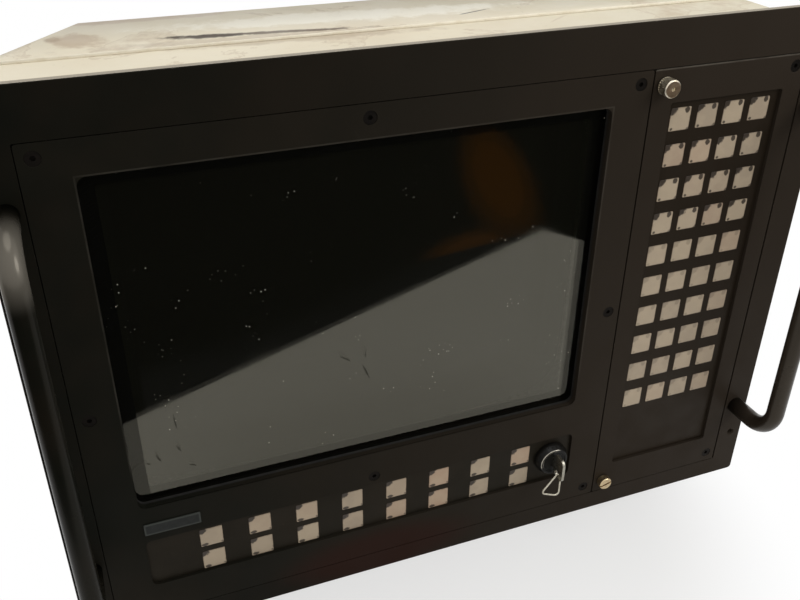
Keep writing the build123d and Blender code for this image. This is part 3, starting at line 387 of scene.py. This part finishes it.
# Plain blots on a key cap: right and up from its middle, half width, half height in mm, strength.
DOOR_KEY_MARKS = (
    (-7.0, 7.0, 4.6, 4.4, 0.95),
    (4.3, 5.3, 1.7, 1.9, 0.9),
    (-5.2, -5.7, 1.0, 0.9, 0.85),
    (8.0, -8.0, 3.2, 3.2, 0.7),
)
SOFT_KEY_MARKS = (
    (-6.6, 6.8, 4.0, 3.4, 0.95),
    (-4.4, -5.6, 2.1, 1.2, 0.9),
    (6.2, -5.8, 0.8, 0.8, 0.6),
    (7.4, -3.4, 0.9, 1.4, 0.5),
)


def key_plastic(name, first, pitch, blush, marks):
    """Beige key caps on a grid that counts from the key at first.

    Each cap has its own tone, and the marks fade below row FAINT_FROM_ROW.
    """
    mix = Recipe(name, specular=0.35)
    across = mix.maths("DIVIDE", mix.minus(mix.axis("X"), first[0]), pitch[0])
    up = mix.maths("DIVIDE", mix.minus(mix.axis("Z"), first[1]), pitch[1])
    column, row = mix.maths("ROUND", across), mix.maths("ROUND", up)
    place = mix.add("ShaderNodeCombineXYZ", {0: column, 1: row, 2: OWN_TONE_SEED}).outputs[0]
    own = mix.add("ShaderNodeTexWhiteNoise", {"Vector": place}, noise_dimensions="3D")
    own_parts = mix.add("ShaderNodeSeparateXYZ", {0: own.outputs["Color"]})
    right = mix.times(mix.minus(across, column), pitch[0] / MM)
    high = mix.times(mix.minus(up, row), pitch[1] / MM)
    colour = mix.layer(mix.share(own.outputs["Value"], 0.1, 0.9), KEY_PALE, KEY_DARK)
    warm = mix.times(mix.share(own_parts.outputs[1], 0.55, 0.95), blush)
    colour = mix.layer(warm, colour, KEY_BLUSH)
    cloud = mix.share(mix.noise(130, 3, 0.5), 0.4, 0.65)
    colour = mix.layer(mix.times(cloud, 0.3), colour, KEY_CLOUD)
    # Darker towards each cap's rim, in uneven bands.
    rim = mix.most(mix.maths("ABSOLUTE", right), mix.maths("ABSOLUTE", high))
    rim_darkening = mix.plus(rim, mix.times(mix.noise(420, 4, 0.6), 1.6))
    colour = mix.layer(mix.share(rim_darkening, 7.0, 8.2, 0.0, 0.65), colour, KEY_RIM_DARK)
    clear = mix.share(row, FAINT_FROM_ROW - 0.6, FAINT_FROM_ROW - 0.4, 0.3, 1.0)
    uneven = mix.wobble(600, 4, 0.6, 0.9)
    for dx, dz, wide, tall, strength in marks:
        a = mix.maths("DIVIDE", mix.minus(right, dx), wide)
        b = mix.maths("DIVIDE", mix.minus(high, dz), tall)
        far = mix.maths("SQRT", mix.plus(mix.times(a, a), mix.times(b, b)))
        part = mix.below(mix.plus(far, uneven), 0.82, 1.12, strength)
        colour = mix.layer(mix.times(part, clear), colour, KEY_MARK)
    return mix.set(
        colour=colour,
        rough=mix.share(mix.noise(300, 3), 0.3, 0.7, 0.34, 0.5),
        normal=mix.bump(mix.noise(1500, 2), 0.00003, 0.4),
    )


FOIL_DARK, FOIL_PALE = (0.0105, 0.0092, 0.0066), (0.0155, 0.0125, 0.0088)
FOIL_ON_DOOR, FOIL_DUST = (0.0165, 0.0118, 0.0078), (0.06, 0.052, 0.04)


def dark_foil(name):
    """Textured plastic foil, dark brown grey, a little dusty, browner on the door."""
    mix = Recipe(name, specular=0.1, tint=(1.0, 0.82, 0.6))
    colour = mix.layer(mix.share(mix.noise(16, 4, 0.6), 0.35, 0.7), FOIL_DARK, FOIL_PALE)
    colour = mix.layer(mix.share(mix.axis("X"), 0.1, 0.13), colour, FOIL_ON_DOOR)
    dust = mix.share(mix.noise(500, 4, 0.7), 0.6, 0.75)
    return mix.set(
        colour=mix.layer(mix.times(dust, 0.3), colour, FOIL_DUST),
        rough=mix.share(mix.noise(60, 4), 0.3, 0.7, 0.4, 0.55),
        normal=mix.bump(mix.cells(1500), 0.00003, 0.5),
    )


PLATE_FIELD, PLATE_CLOUD = (0.008, 0.0095, 0.008), (0.012, 0.0135, 0.0115)
PLATE_BORDER, BORDER_STARTS = (0.034, 0.038, 0.033), (-0.0013, -0.0008)


def blank_plate(name, outline):
    """A bare name plate: black field inside a thin paler border."""
    mix = Recipe(name, specular=0.2)
    border = mix.share(mix.past_box(outline), *BORDER_STARTS)
    field = mix.layer(mix.share(mix.noise(300, 4), 0.4, 0.7), PLATE_FIELD, PLATE_CLOUD)
    return mix.set(
        colour=mix.layer(border, field, PLATE_BORDER),
        rough=mix.share(mix.noise(500, 3), 0.3, 0.7, 0.4, 0.52),
    )


LOCK_DARK, LOCK_RIM_HIGHLIGHT = (0.006, 0.0055, 0.0048), (0.42, 0.39, 0.33)
LOCK_FRONT = (-0.0087, -0.0083)


def lock_edge(name, middle):
    """The lock's black, with a highlight painted as bright metal on its front rim at the upper
    left.
    """
    mix = Recipe(name, specular=0.2, rough=0.32)
    left = mix.minus(middle[0], mix.axis("X"))
    high = mix.minus(mix.axis("Z"), middle[1])
    upper_left = mix.share(mix.plus(left, high), 0.004, 0.008)
    front = mix.below(mix.axis("Y"), *LOCK_FRONT)
    patchy = mix.share(mix.noise(400, 3), 0.3, 0.5, 0.5, 1.0)
    # The painted highlight: the front rim's upper left, in patches.
    bright = mix.times(mix.times(upper_left, front), patchy)
    return mix.set(
        colour=mix.layer(bright, LOCK_DARK, LOCK_RIM_HIGHLIGHT), metal=mix.times(bright, 0.6)
    )


LACQUER, LACQUER_PALE, TRACK_GREEN = (0.012, 0.075, 0.028), (0.02, 0.1, 0.04), (0.05, 0.17, 0.05)
SOLDER = (0.55, 0.54, 0.5)


def circuit_board(name):
    """Green board: copper tracks under the lacquer and small solder dots."""
    mix = Recipe(name, specular=0.5)
    tracks = mix.cells(160, "DISTANCE_TO_EDGE", mix.moved(stretch=(1, 1, 0.45)))
    track = mix.below(tracks, 0.05, 0.09)
    colour = mix.layer(mix.noise(40), LACQUER, LACQUER_PALE)
    colour = mix.layer(mix.times(track, 0.6), colour, TRACK_GREEN)
    dots = mix.below(mix.cells(300), 0.12, 0.17)
    solder = mix.times(dots, mix.share(mix.noise(90), 0.5, 0.55))
    return mix.set(
        colour=mix.layer(solder, colour, SOLDER),
        rough=mix.share(mix.noise(120), 0.3, 0.7, 0.3, 0.45),
        metal=mix.times(solder, 0.9),
        normal=mix.bump(mix.most(track, solder), 0.00008, 0.6),
    )


GLASS_TONE, DUST_PALE = (0.001, 0.001, 0.0008), (0.5, 0.48, 0.42)
ALPHA_OVER_MASK, ALPHA_CLEAR = 0.28, 0.55
SOFT_EDGE = 0.0003

# Dirt on the glass: x and z, turn, half length and half width in mm.
GLASS_FIBRES = (
    (-169.8, -24.0, -1.5, 4.6, 0.55),
    (-196.0, -48.5, 0.9, 3.6, 0.6),
    (-190.5, -47.2, -0.34, 4.0, 0.5),
    (-182.2, -45.3, -1.15, 3.0, 0.6),
    (-169.8, -42.5, -1.1, 3.0, 0.6),
    (-163.8, -56.0, -0.5, 2.4, 0.5),
    (-68.8, -4.2, -0.63, 5.0, 0.55),
    (-56.5, -2.5, -1.68, 4.8, 0.35),
    (-56.2, -16.8, -1.22, 5.4, 0.6),
)


def filter_pane(name, clear):
    """Grey contrast glass with dust and fibres, fainter past the clear box, over the mask."""
    mix = Recipe(name, ior=2.05, specular=0.5, tint=(1.0, 0.95, 0.76))
    inside = 1.0
    for letter, first, last in (("X", clear[0], clear[2]), ("Z", clear[1], clear[3])):
        along = mix.axis(letter)
        inside = mix.times(inside, mix.share(along, first - SOFT_EDGE, first + SOFT_EDGE))
        inside = mix.times(inside, mix.below(along, last - SOFT_EDGE, last + SOFT_EDGE))
    smears = mix.share(
        mix.noise(22, 5, 0.6, mix.moved(stretch=(1, 1, 2))), 0.35, 0.75, 0.015, 0.06
    )
    dust = mix.times(
        mix.below(mix.cells(300), 0.07, 0.13), mix.share(mix.noise(45, 2), 0.612, 0.63)
    )
    uneven = mix.wobble(330, 4, 0.6, 1.8)
    spots = dust
    for x, z, turn, long, wide in GLASS_FIBRES:
        size = (long * MM, math.inf, wide * MM)
        far = mix.reach((x * MM, 0, z * MM), size, (0, turn, 0))
        spots = mix.most(spots, mix.below(mix.plus(far, uneven), 0.7, 1.1, 0.95))
    return mix.set(
        rough=mix.most(smears, spots),
        alpha=mix.most(mix.share(inside, 0, 1, ALPHA_OVER_MASK, ALPHA_CLEAR), spots),
        colour=mix.layer(dust, GLASS_TONE, DUST_PALE),
    )


PHOSPHOR_DARK, PHOSPHOR_PALE = (0.026, 0.026, 0.0215), (0.031, 0.031, 0.025)
GLASS_RIM, RIM_LINE = (0.044, 0.049, 0.037), (0.008, 0.008, 0.007)
GRAPHITE_DARK, GRAPHITE_PALE = (0.02, 0.02, 0.021), (0.04, 0.04, 0.042)
COATED_FROM, LINE_HALF = (0.05, 0.056), (0.0008, 0.0014)


def tube_glass(name, phosphor_box):
    """Picture tube: grey phosphor with a thin dark line round it, black coating behind the rim."""
    mix = Recipe(name, specular=0.5)
    edge = mix.past_box(phosphor_box)
    phosphor = mix.layer(mix.noise(40, 2), PHOSPHOR_DARK, PHOSPHOR_PALE)
    front = mix.layer(mix.share(edge, 0.0, 0.0006), phosphor, GLASS_RIM)
    line = mix.below(mix.maths("ABSOLUTE", edge), *LINE_HALF)
    front = mix.layer(line, front, RIM_LINE)
    back = mix.share(mix.axis("Y"), *COATED_FROM)
    graphite = mix.layer(mix.noise(50, 4), GRAPHITE_DARK, GRAPHITE_PALE)
    return mix.set(
        colour=mix.layer(back, front, graphite),
        rough=mix.most(mix.share(back, 0, 1, 0.16, 0.6), mix.times(line, 0.7)),
    )


COPPER_DARK, COPPER_PALE = (0.16, 0.045, 0.015), (0.42, 0.15, 0.05)
WIRES_ROUND_NECK = 260


def windings(name, middle):
    """Enamelled copper wire wound side by side round the tube's neck."""
    mix = Recipe(name, metal=0.5)
    about = mix.add("ShaderNodeSeparateXYZ", {0: mix.moved((middle[0], 0, middle[1]))})
    angle = mix.maths("ARCTAN2", about.outputs[2], about.outputs[0])
    # height also darkens the colour into the grooves between turns: painted shade.
    height = mix.share(mix.maths("SINE", mix.times(angle, WIRES_ROUND_NECK)), -1, 1)
    return mix.set(
        colour=mix.layer(height, COPPER_DARK, COPPER_PALE),
        rough=mix.share(mix.noise(90), 0, 1, 0.3, 0.45),
        normal=mix.bump(height, 0.0003, 0.8),
    )


FRAME_DARK, FRAME_BROWN = (0.0056, 0.006, 0.0044), (0.0095, 0.0078, 0.0054)
PLATE_DARK, PLATE_BROWN = (0.0066, 0.007, 0.0052), (0.011, 0.0094, 0.0066)
# The bezel's bevel colours: worn paint, made paler than the face so that they also paint the
# highlight line along its edges.
PLATE_EDGE_DARK, PLATE_EDGE_PALE = (0.03, 0.029, 0.024), (0.036, 0.033, 0.027)
DOOR_DARK, DOOR_BROWN = (0.0105, 0.0085, 0.006), (0.0155, 0.0115, 0.0077)
DOOR_EDGE_DARK, DOOR_EDGE_PALE = (0.03, 0.026, 0.02), (0.04, 0.034, 0.026)
LEFT_HANDLE_BEND = (-0.23, -0.036, 0.109)

frame_paint = black_paint("frame_paint", FRAME_DARK, FRAME_BROWN)
frame_edge = black_paint("frame_edge", FRAME_DARK, FRAME_BROWN, bare=0.45)
# The bezel gets a highlight line painted just outside its window's upper edges.
plate_paint = black_paint("plate_paint", PLATE_DARK, PLATE_BROWN, lip=(WINDOW, -0.06, 0.07))
plate_edge = black_paint("plate_edge", PLATE_EDGE_DARK, PLATE_EDGE_PALE, bare=0.2, gloss=0.25)
# The door gets a highlight line painted at its top edge.
door_paint = black_paint("door_paint", DOOR_DARK, DOOR_BROWN, lip=(BELOW_DOOR_TOP, 0.1, 0.22))
door_edge = black_paint("door_edge", DOOR_EDGE_DARK, DOOR_EDGE_PALE, bare=0.35, gloss=0.35)
# The left handle gets a highlight painted at its upper bend.
left_handle_paint = black_paint(
    "left_handle_paint",
    FRAME_DARK,
    FRAME_BROWN,
    (0.2, 0.3),
    gloss=0.09,
    painted_highlight_at=LEFT_HANDLE_BEND,
)
right_handle_paint = black_paint(
    "right_handle_paint", DOOR_DARK, DOOR_BROWN, (0.26, 0.38), gloss=0.3
)
cream = cream_paint("cream_paint")
cream_edge = cream_paint("cream_edge", bare=0.3)
# A paler cream painted on the rear cover's lap bevel to cancel the shade on it.
cream_lap_painted_lighter = moulded("cream_lap_painted_lighter", (0.8, 0.74, 0.6), (0.72, 0.65, 0.5), specular=0.25)
dark_steel = moulded(
    "dark_steel", (0.0058, 0.0046, 0.0036), (0.0092, 0.007, 0.0055), (0.5, 0.65), 0.06
)
zinc = plated("zinc_steel", (0.6, 0.58, 0.53), (0.36, 0.34, 0.3), (0.28, 0.5))
nickel = plated("worn_nickel", (0.74, 0.68, 0.55), (0.6, 0.52, 0.39), (0.32, 0.46), 0.1)
worn_face = plated("worn_face", (0.5, 0.36, 0.24), (0.4, 0.27, 0.17), (0.3, 0.42), 0.15)
lock_black = moulded(
    "lock_black", (0.0052, 0.0046, 0.0038), (0.007, 0.0062, 0.005), (0.3, 0.4), 0.14
)
lock_rim_highlight = lock_edge("lock_rim_highlight", LOCK_MIDDLE)
brass = plated("worn_brass", (0.62, 0.49, 0.3), (0.45, 0.34, 0.2), (0.26, 0.4), 0.1)
key_steel = plated("key_steel", (0.4, 0.38, 0.32), (0.28, 0.25, 0.2), (0.25, 0.4))
ring_steel = plated("ring_steel", (0.6, 0.56, 0.46), (0.42, 0.38, 0.3), (0.22, 0.38))
pan_steel = plated("pan_steel", (0.42, 0.42, 0.4), (0.3, 0.3, 0.28), (0.3, 0.5))
mask_black = moulded(
    "mask_black", (0.002, 0.002, 0.0018), (0.003, 0.003, 0.0026), (0.6, 0.8), 0.05
)
band_steel = plated("band_steel", (0.34, 0.34, 0.33), (0.2, 0.2, 0.19), (0.35, 0.55))
rubber = moulded("rubber", (0.01, 0.0095, 0.009), (0.018, 0.017, 0.015), (0.6, 0.8), 0.25)
black_plastic = moulded("black_plastic", (0.013, 0.012, 0.011), (0.024, 0.022, 0.019))
plate_blank = blank_plate("plate_blank", NAME_PLATE)
door_key_plastic = key_plastic(
    "door_key_plastic", (0.1374, 0.1184), (0.01882, 0.02243), 0.3, DOOR_KEY_MARKS
)
soft_key_plastic = key_plastic(
    "soft_key_plastic", (-0.1591, -0.1297), (0.03019, 0.0184), 0.6, SOFT_KEY_MARKS
)
foil = dark_foil("dark_foil")
board_green = circuit_board("board_green")
glass_finish = filter_pane("filter_glass", CLEAR_GLASS)
tube_finish = tube_glass("tube_glass", PHOSPHOR)
yoke_finish = windings("copper_windings", TUBE_MIDDLE)


# ---------------------------------------------------------------- pieces


WELD = 0.000002
FLAT_DEGREES, SHARP_DEGREES, TUBE_SHARP_DEGREES = 0.6, 28, 30
SCREW_ROUNDING, SCREW_FACE_DEPTH, KEY_ROUNDING = 0.12, 0.3, 0.4


def made_object(mesh, name, finishes):
    """Puts a mesh into the scene as one object with its finishes in order."""
    data = bpy.data.meshes.new(name)
    mesh.to_mesh(data)
    mesh.free()
    for finish in finishes:
        data.materials.append(finish)
    thing = bpy.data.objects.new(name, data)
    bpy.context.scene.collection.objects.link(thing)
    return thing


def piece_from(mesh, name, finishes, node, smooth=True):
    """Makes the piece that stands for a node, riding on the node's body."""
    piece = made_object(mesh, name, finishes)
    if smooth:
        piece.data.shade_smooth()
        weight = piece.modifiers.new("face_weight", "WEIGHTED_NORMAL")
        weight.keep_sharp = True
    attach(piece, nodes[node]["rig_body"])
    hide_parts(node)


def merged(node):
    """A closed copy of a node's mesh with one finish."""
    mesh = bmesh.new()
    mesh.from_mesh(nodes[node].data)
    bmesh.ops.remove_doubles(mesh, verts=mesh.verts, dist=WELD)
    for face in mesh.faces:
        face.material_index = 0
    return mesh


def flattened(node):
    """A closed copy of a node's mesh with its flat faces whole again."""
    mesh = merged(node)
    bmesh.ops.dissolve_limit(
        mesh, angle_limit=math.radians(FLAT_DEGREES), verts=mesh.verts, edges=mesh.edges
    )
    return mesh


def sharp_edges(mesh, least=SHARP_DEGREES):
    """The edges whose two faces turn by more than least degrees."""
    limit = math.radians(least)
    return [e for e in mesh.edges if len(e.link_faces) == 2 and e.calc_face_angle() > limit]


def rounded(mesh, width, edges=None, steps=2, material=-1):
    """Rounds the given edges, or else all sharp ones, by width in mm."""
    bmesh.ops.bevel(
        mesh,
        geom=sharp_edges(mesh) if edges is None else edges,
        offset=width * MM,
        offset_type="OFFSET",
        affect="EDGES",
        segments=steps,
        profile=0.5,
        clamp_overlap=True,
        material=material,
    )
    return mesh


LAP_BACK, LAP_TOP, LAP_SIDE = 0.0653, 0.168, 0.2237


def lap_edges(mesh):
    """The rear cover's outer front rim, where it laps over the housing."""

    def on_rim(place):
        return place.y < LAP_BACK and (abs(place.z) > LAP_TOP or abs(place.x) > LAP_SIDE)

    return [e for e in sharp_edges(mesh) if all(on_rim(v.co) for v in e.verts)]


def worn_copy(node, finishes, width, steps=2, chosen=None):
    """The node's own shape, its sharp or chosen edges rounded, with the last finish on them."""
    mesh = flattened(node)
    edges = chosen(mesh) if chosen else None
    rounded(mesh, width, edges, steps=steps, material=1 if len(finishes) > 1 else -1)
    piece_from(mesh, node + "_finished", finishes, node)


def dress(finish, *names):
    """Gives CAD nodes that show as they are their finish."""
    for name in names:
        nodes[name].data.materials[0] = finish


def thumb_screw():
    """The knurled top screw: bright sides and a browned face."""
    mesh = rounded(flattened("door_screw_top"), SCREW_ROUNDING)
    face_y = min(v.co.y for v in mesh.verts) + SCREW_FACE_DEPTH * MM
    for face in mesh.faces:
        if face.normal.y < -0.9 and face.calc_center_median().y < face_y:
            face.material_index = 1
    piece_from(mesh, "thumb_screw", [nickel, worn_face], "door_screw_top")


def picture_tube():
    """The tube's own form, its glass smooth."""
    mesh = merged("crt_tube")
    for edge in sharp_edges(mesh, TUBE_SHARP_DEGREES):
        edge.smooth = False
    for face in mesh.faces:
        face.smooth = True
    piece_from(mesh, "picture_tube", [tube_finish], "crt_tube", smooth=False)


def key_caps(node, name, finish, steps):
    """The node's keys with rounded rims."""
    mesh = rounded(flattened(node), KEY_ROUNDING, steps=steps)
    piece_from(mesh, name, [finish], node)


BAR_FOOT_LOW, BAR_FOOT_HIGH = -112.9, 117.1
BAR_REACH, BAR_BEND, BAR_RADIUS, PLATE_FRONT = -42.0, 20.0, 6.0, -4.0
BAR_SIDES, BEND_STEPS = 32, 14


def edges_in(geometry):
    """The edges among what an operator made."""
    return [g for g in geometry if isinstance(g, bmesh.types.BMEdge)]


def bar_run(mesh, edges, step):
    """Pulls the bar's open end out by step, in mm, and gives the new end's edges."""
    made = bmesh.ops.extrude_edge_only(mesh, edges=edges)["geom"]
    verts = [g for g in made if isinstance(g, bmesh.types.BMVert)]
    bmesh.ops.translate(mesh, verts=verts, vec=Vector(step) * MM)
    return edges_in(made)


def bar_turn(mesh, edges, centre):
    """Spins the bar's open end a quarter turn about centre, in mm, and gives its new edges."""
    ends = list(dict.fromkeys(v for e in edges for v in e.verts))
    made = bmesh.ops.spin(
        mesh,
        geom=edges + ends,
        cent=Vector(centre) * MM,
        axis=(1, 0, 0),
        angle=math.radians(-90),
        steps=BEND_STEPS,
    )
    return edges_in(made["geom_last"])


def bow_handle(node, x, finish):
    """A round bar bent at both ends, its feet on the plate."""
    mesh = bmesh.new()
    bmesh.ops.create_circle(mesh, segments=BAR_SIDES, radius=BAR_RADIUS * MM)
    upright = Matrix.Rotation(math.radians(90), 3, "X")
    bmesh.ops.rotate(mesh, verts=mesh.verts, cent=(0, 0, 0), matrix=upright)
    foot = Vector((x, PLATE_FRONT, BAR_FOOT_LOW)) * MM
    bmesh.ops.translate(mesh, verts=mesh.verts, vec=foot)
    bend_y = BAR_REACH + BAR_BEND
    edges = bar_run(mesh, mesh.edges[:], (0, bend_y - PLATE_FRONT, 0))
    edges = bar_turn(mesh, edges, (x, bend_y, BAR_FOOT_LOW + BAR_BEND))
    edges = bar_run(mesh, edges, (0, 0, BAR_FOOT_HIGH - BAR_FOOT_LOW - 2 * BAR_BEND))
    edges = bar_turn(mesh, edges, (x, bend_y, BAR_FOOT_HIGH - BAR_BEND))
    bar_run(mesh, edges, (0, PLATE_FRONT - bend_y, 0))
    bmesh.ops.remove_doubles(mesh, verts=mesh.verts, dist=WELD / 2)
    bmesh.ops.holes_fill(mesh, edges=mesh.edges, sides=0)
    bmesh.ops.recalc_face_normals(mesh, faces=mesh.faces)
    piece_from(mesh, node + "_bar", [finish], node)


worn_copy("front_frame", [frame_paint, frame_edge], 0.35)
worn_copy("screen_bezel", [plate_paint, plate_edge], 0.2)
worn_copy("key_door", [door_paint, door_edge], 0.3)
worn_copy("housing_front", [cream, cream_edge], 0.3)
worn_copy("rear_cover", [cream, cream_lap_painted_lighter], 1.3, 3, lap_edges)
worn_copy("rear_hood", [cream, cream_edge], 0.3)
worn_copy("screen_glass", [glass_finish], 0.3)
worn_copy("glass_retainer", [mask_black], 0.15)
worn_copy("name_plate", [plate_blank], 0.15)
worn_copy("bezel_screws", [dark_steel], SCREW_ROUNDING)
worn_copy("hinge_screws", [dark_steel], SCREW_ROUNDING)
worn_copy("cover_screws", [zinc], 0.15)
worn_copy("key_switch_body", [lock_black, lock_rim_highlight], 0.5)
worn_copy("key_switch_rotor", [lock_black], 0.15)
worn_copy("switch_key", [key_steel], 0.25)
worn_copy("key_ring", [ring_steel], 0.02)
worn_copy("door_screw_bottom", [brass], 0.2)

dress(foil, "door_fascia", "softkey_fascia")
dress(rubber, "glass_gasket")
dress(pan_steel, "door_pan", "signal_connectors")
dress(band_steel, "crt_band")
dress(yoke_finish, "deflection_yoke")
dress(board_green, "door_key_board", "softkey_board", "monitor_board", "neck_board")
dress(board_green, "interface_board")
dress(zinc, "board_spacers", "chassis_screws", "handle_screws", "hinge_pins", "key_switch_nut")
dress(zinc, "earth_stud", "power_supply")
dress(black_plastic, "line_transformer", "switch_contacts", "mains_terminals")

thumb_screw()
picture_tube()
for number in range(1, 17):
    soft_key = f"soft_key_{number:02d}"
    key_caps(soft_key, soft_key + "_cap", soft_key_plastic, 3)
key_caps("door_keys", "door_key_caps", door_key_plastic, 2)
bow_handle("handle_left", -230.0, left_handle_paint)
bow_handle("handle_right", 230.0, right_handle_paint)


# ---------------------------------------------------------------- floor, light, camera


def seen_directly(tree):
    """1 for what the camera, gloss and glass see, 0 for light that only falls on things."""
    rays = tree.nodes.new("ShaderNodeLightPath").outputs
    seen = rays["Is Camera Ray"]
    for ray in ("Is Glossy Ray", "Is Transmission Ray"):
        either = tree.nodes.new("ShaderNodeMath")
        either.operation = "MAXIMUM"
        tree.links.new(seen, either.inputs[0])
        tree.links.new(rays[ray], either.inputs[1])
        seen = either.outputs[0]
    return seen


def blend_into(tree, part, under, over, output):
    """Leads the blend of two shaders, over where part is 1, into the tree's output."""
    blend = tree.nodes.new("ShaderNodeMixShader")
    for socket, source in enumerate((part, under, over)):
        tree.links.new(source, blend.inputs[socket])
    tree.links.new(blend.outputs[0], tree.nodes[output].inputs[0])


FLOOR_HALF, FLOOR_PALE = 4.0, (0.82, 0.82, 0.81)
SHADOW_NEAR, SHADOW_FAR, SHADOW_GLOW = 0.22, 0.31, 0.5
ROOM_RISE, BOARD_RISE = 0.0015, 0.0019
FILL_TONE, FILL_STRENGTH = (1.0, 0.98, 0.95, 1), 0.5


def pale_floor():
    """A pale floor that keeps the shadow near the object and is plain white further off."""
    mesh = bmesh.new()
    bmesh.ops.create_grid(mesh, x_segments=1, y_segments=1, size=FLOOR_HALF)
    bmesh.ops.translate(mesh, verts=mesh.verts, vec=(0, 0, FLOOR_Z))
    mix = Recipe("floor_white", colour=FLOOR_PALE, rough=0.9, specular=0.1)
    glow = mix.add("ShaderNodeEmission", {"Color": (1, 1, 1), "Strength": 1.0})
    away = mix.add("ShaderNodeVectorMath", {0: mix.place}, operation="LENGTH").outputs["Value"]
    whiten = mix.share(away, SHADOW_NEAR, SHADOW_FAR, SHADOW_GLOW, 1.0)
    part = mix.times(seen_directly(mix.tree), whiten)
    blend_into(mix.tree, part, mix.shader.outputs[0], glow.outputs[0], "Material Output")
    floor = made_object(mesh, "floor", [mix.finish])


def reflected_card(finish, outline, rise):
    """A flat card just over the floor that only gloss sees."""
    mesh = bmesh.new()
    mesh.faces.new([mesh.verts.new((x, y, FLOOR_Z + rise)) for x, y in outline])
    card = made_object(mesh, finish.name, [finish])
    card.visible_camera = card.visible_diffuse = card.visible_shadow = False
    card.visible_transmission = False


def dark_room():
    """The dark floor beyond the table's edge, as the glass mirrors it."""
    corner, edge_left, edge_right = (0.304, -0.411), (-0.55, -0.07), (0.70, 0.13)
    outline = [edge_left, corner, edge_right, (3, 0.13), (3, -3), (-3, -3), (-3, -0.07)]
    finish = Recipe("dark_room", colour=(0.029, 0.03, 0.024), rough=0.9, specular=0.0).finish
    reflected_card(finish, outline, ROOM_RISE)


def brown_board():
    """A blurred brown board beyond the table, that only shows in the glass."""
    mix = Recipe("brown_board", colour=(0.16, 0.07, 0.013), rough=0.9, specular=0.0)
    upright = mix.blot((0.325, -0.575, FLOOR_Z), (0.062, 0.26, 1), 0.7, -0.34)
    foot = mix.blot((0.2, -0.395, FLOOR_Z), (0.095, 0.042, 1), 0.7, 0.48)
    mix.set(alpha=mix.most(upright, foot))
    outline = [(0.02, -0.37), (0.304, -0.4115), (0.45, -0.3), (0.45, -0.95), (0.02, -0.95)]
    reflected_card(mix.finish, outline, BOARD_RISE)


def soft_world():
    """White where it is seen directly, and a weaker warm light on the object."""
    world = bpy.data.worlds.new("studio")
    world.use_nodes = True
    tree = world.node_tree
    white = tree.nodes["Background"]
    fill = tree.nodes.new("ShaderNodeBackground")
    for light, tone, strength in ((white, (1, 1, 1, 1), 1.0), (fill, FILL_TONE, FILL_STRENGTH)):
        light.inputs["Color"].default_value = tone
        light.inputs["Strength"].default_value = strength
    blend_into(tree, seen_directly(tree), fill.outputs[0], white.outputs[0], "World Output")
    bpy.context.scene.world = world


def lamp(name, place, aim, size, watts):
    """A round soft lamp at place that shines towards aim."""
    light = bpy.data.lights.new(name, "AREA")
    light.shape, light.size, light.energy = "DISK", size, watts
    lamp_object = bpy.data.objects.new(name, light)
    lamp_object.location = place
    lamp_object.rotation_euler = (Vector(aim) - Vector(place)).to_track_quat("-Z", "Y").to_euler()
    bpy.context.scene.collection.objects.link(lamp_object)


def photo_camera():
    """The camera where the photograph was taken from."""
    right = Vector((0.934242, -0.356596, 0.005947))
    down = Vector((-0.177876, -0.480343, -0.858854))
    ahead = Vector((0.309114, 0.801318, -0.512181))
    place = (-0.19586, -0.41471, 0.29535)
    data = bpy.data.cameras.new("camera")
    data.lens, data.sensor_width = 40.480, 36.0
    data.clip_start, data.clip_end = 0.01, 20.0
    camera = bpy.data.objects.new("camera", data)
    turn = Matrix((right, -down, -ahead)).transposed()
    camera.matrix_world = Matrix.Translation(place) @ turn.to_4x4()
    bpy.context.scene.collection.objects.link(camera)
    bpy.context.scene.camera = camera


pale_floor()
dark_room()
brown_board()
soft_world()
lamp("lamp_over", (-0.1, 0.1, 1.5), (0, 0.1, 0), 1.2, 10)
lamp("lamp_front", (0.85, -0.65, 0.75), (0, 0, 0), 0.7, 6)
photo_camera()
bpy.context.scene.view_settings.view_transform = "Standard"
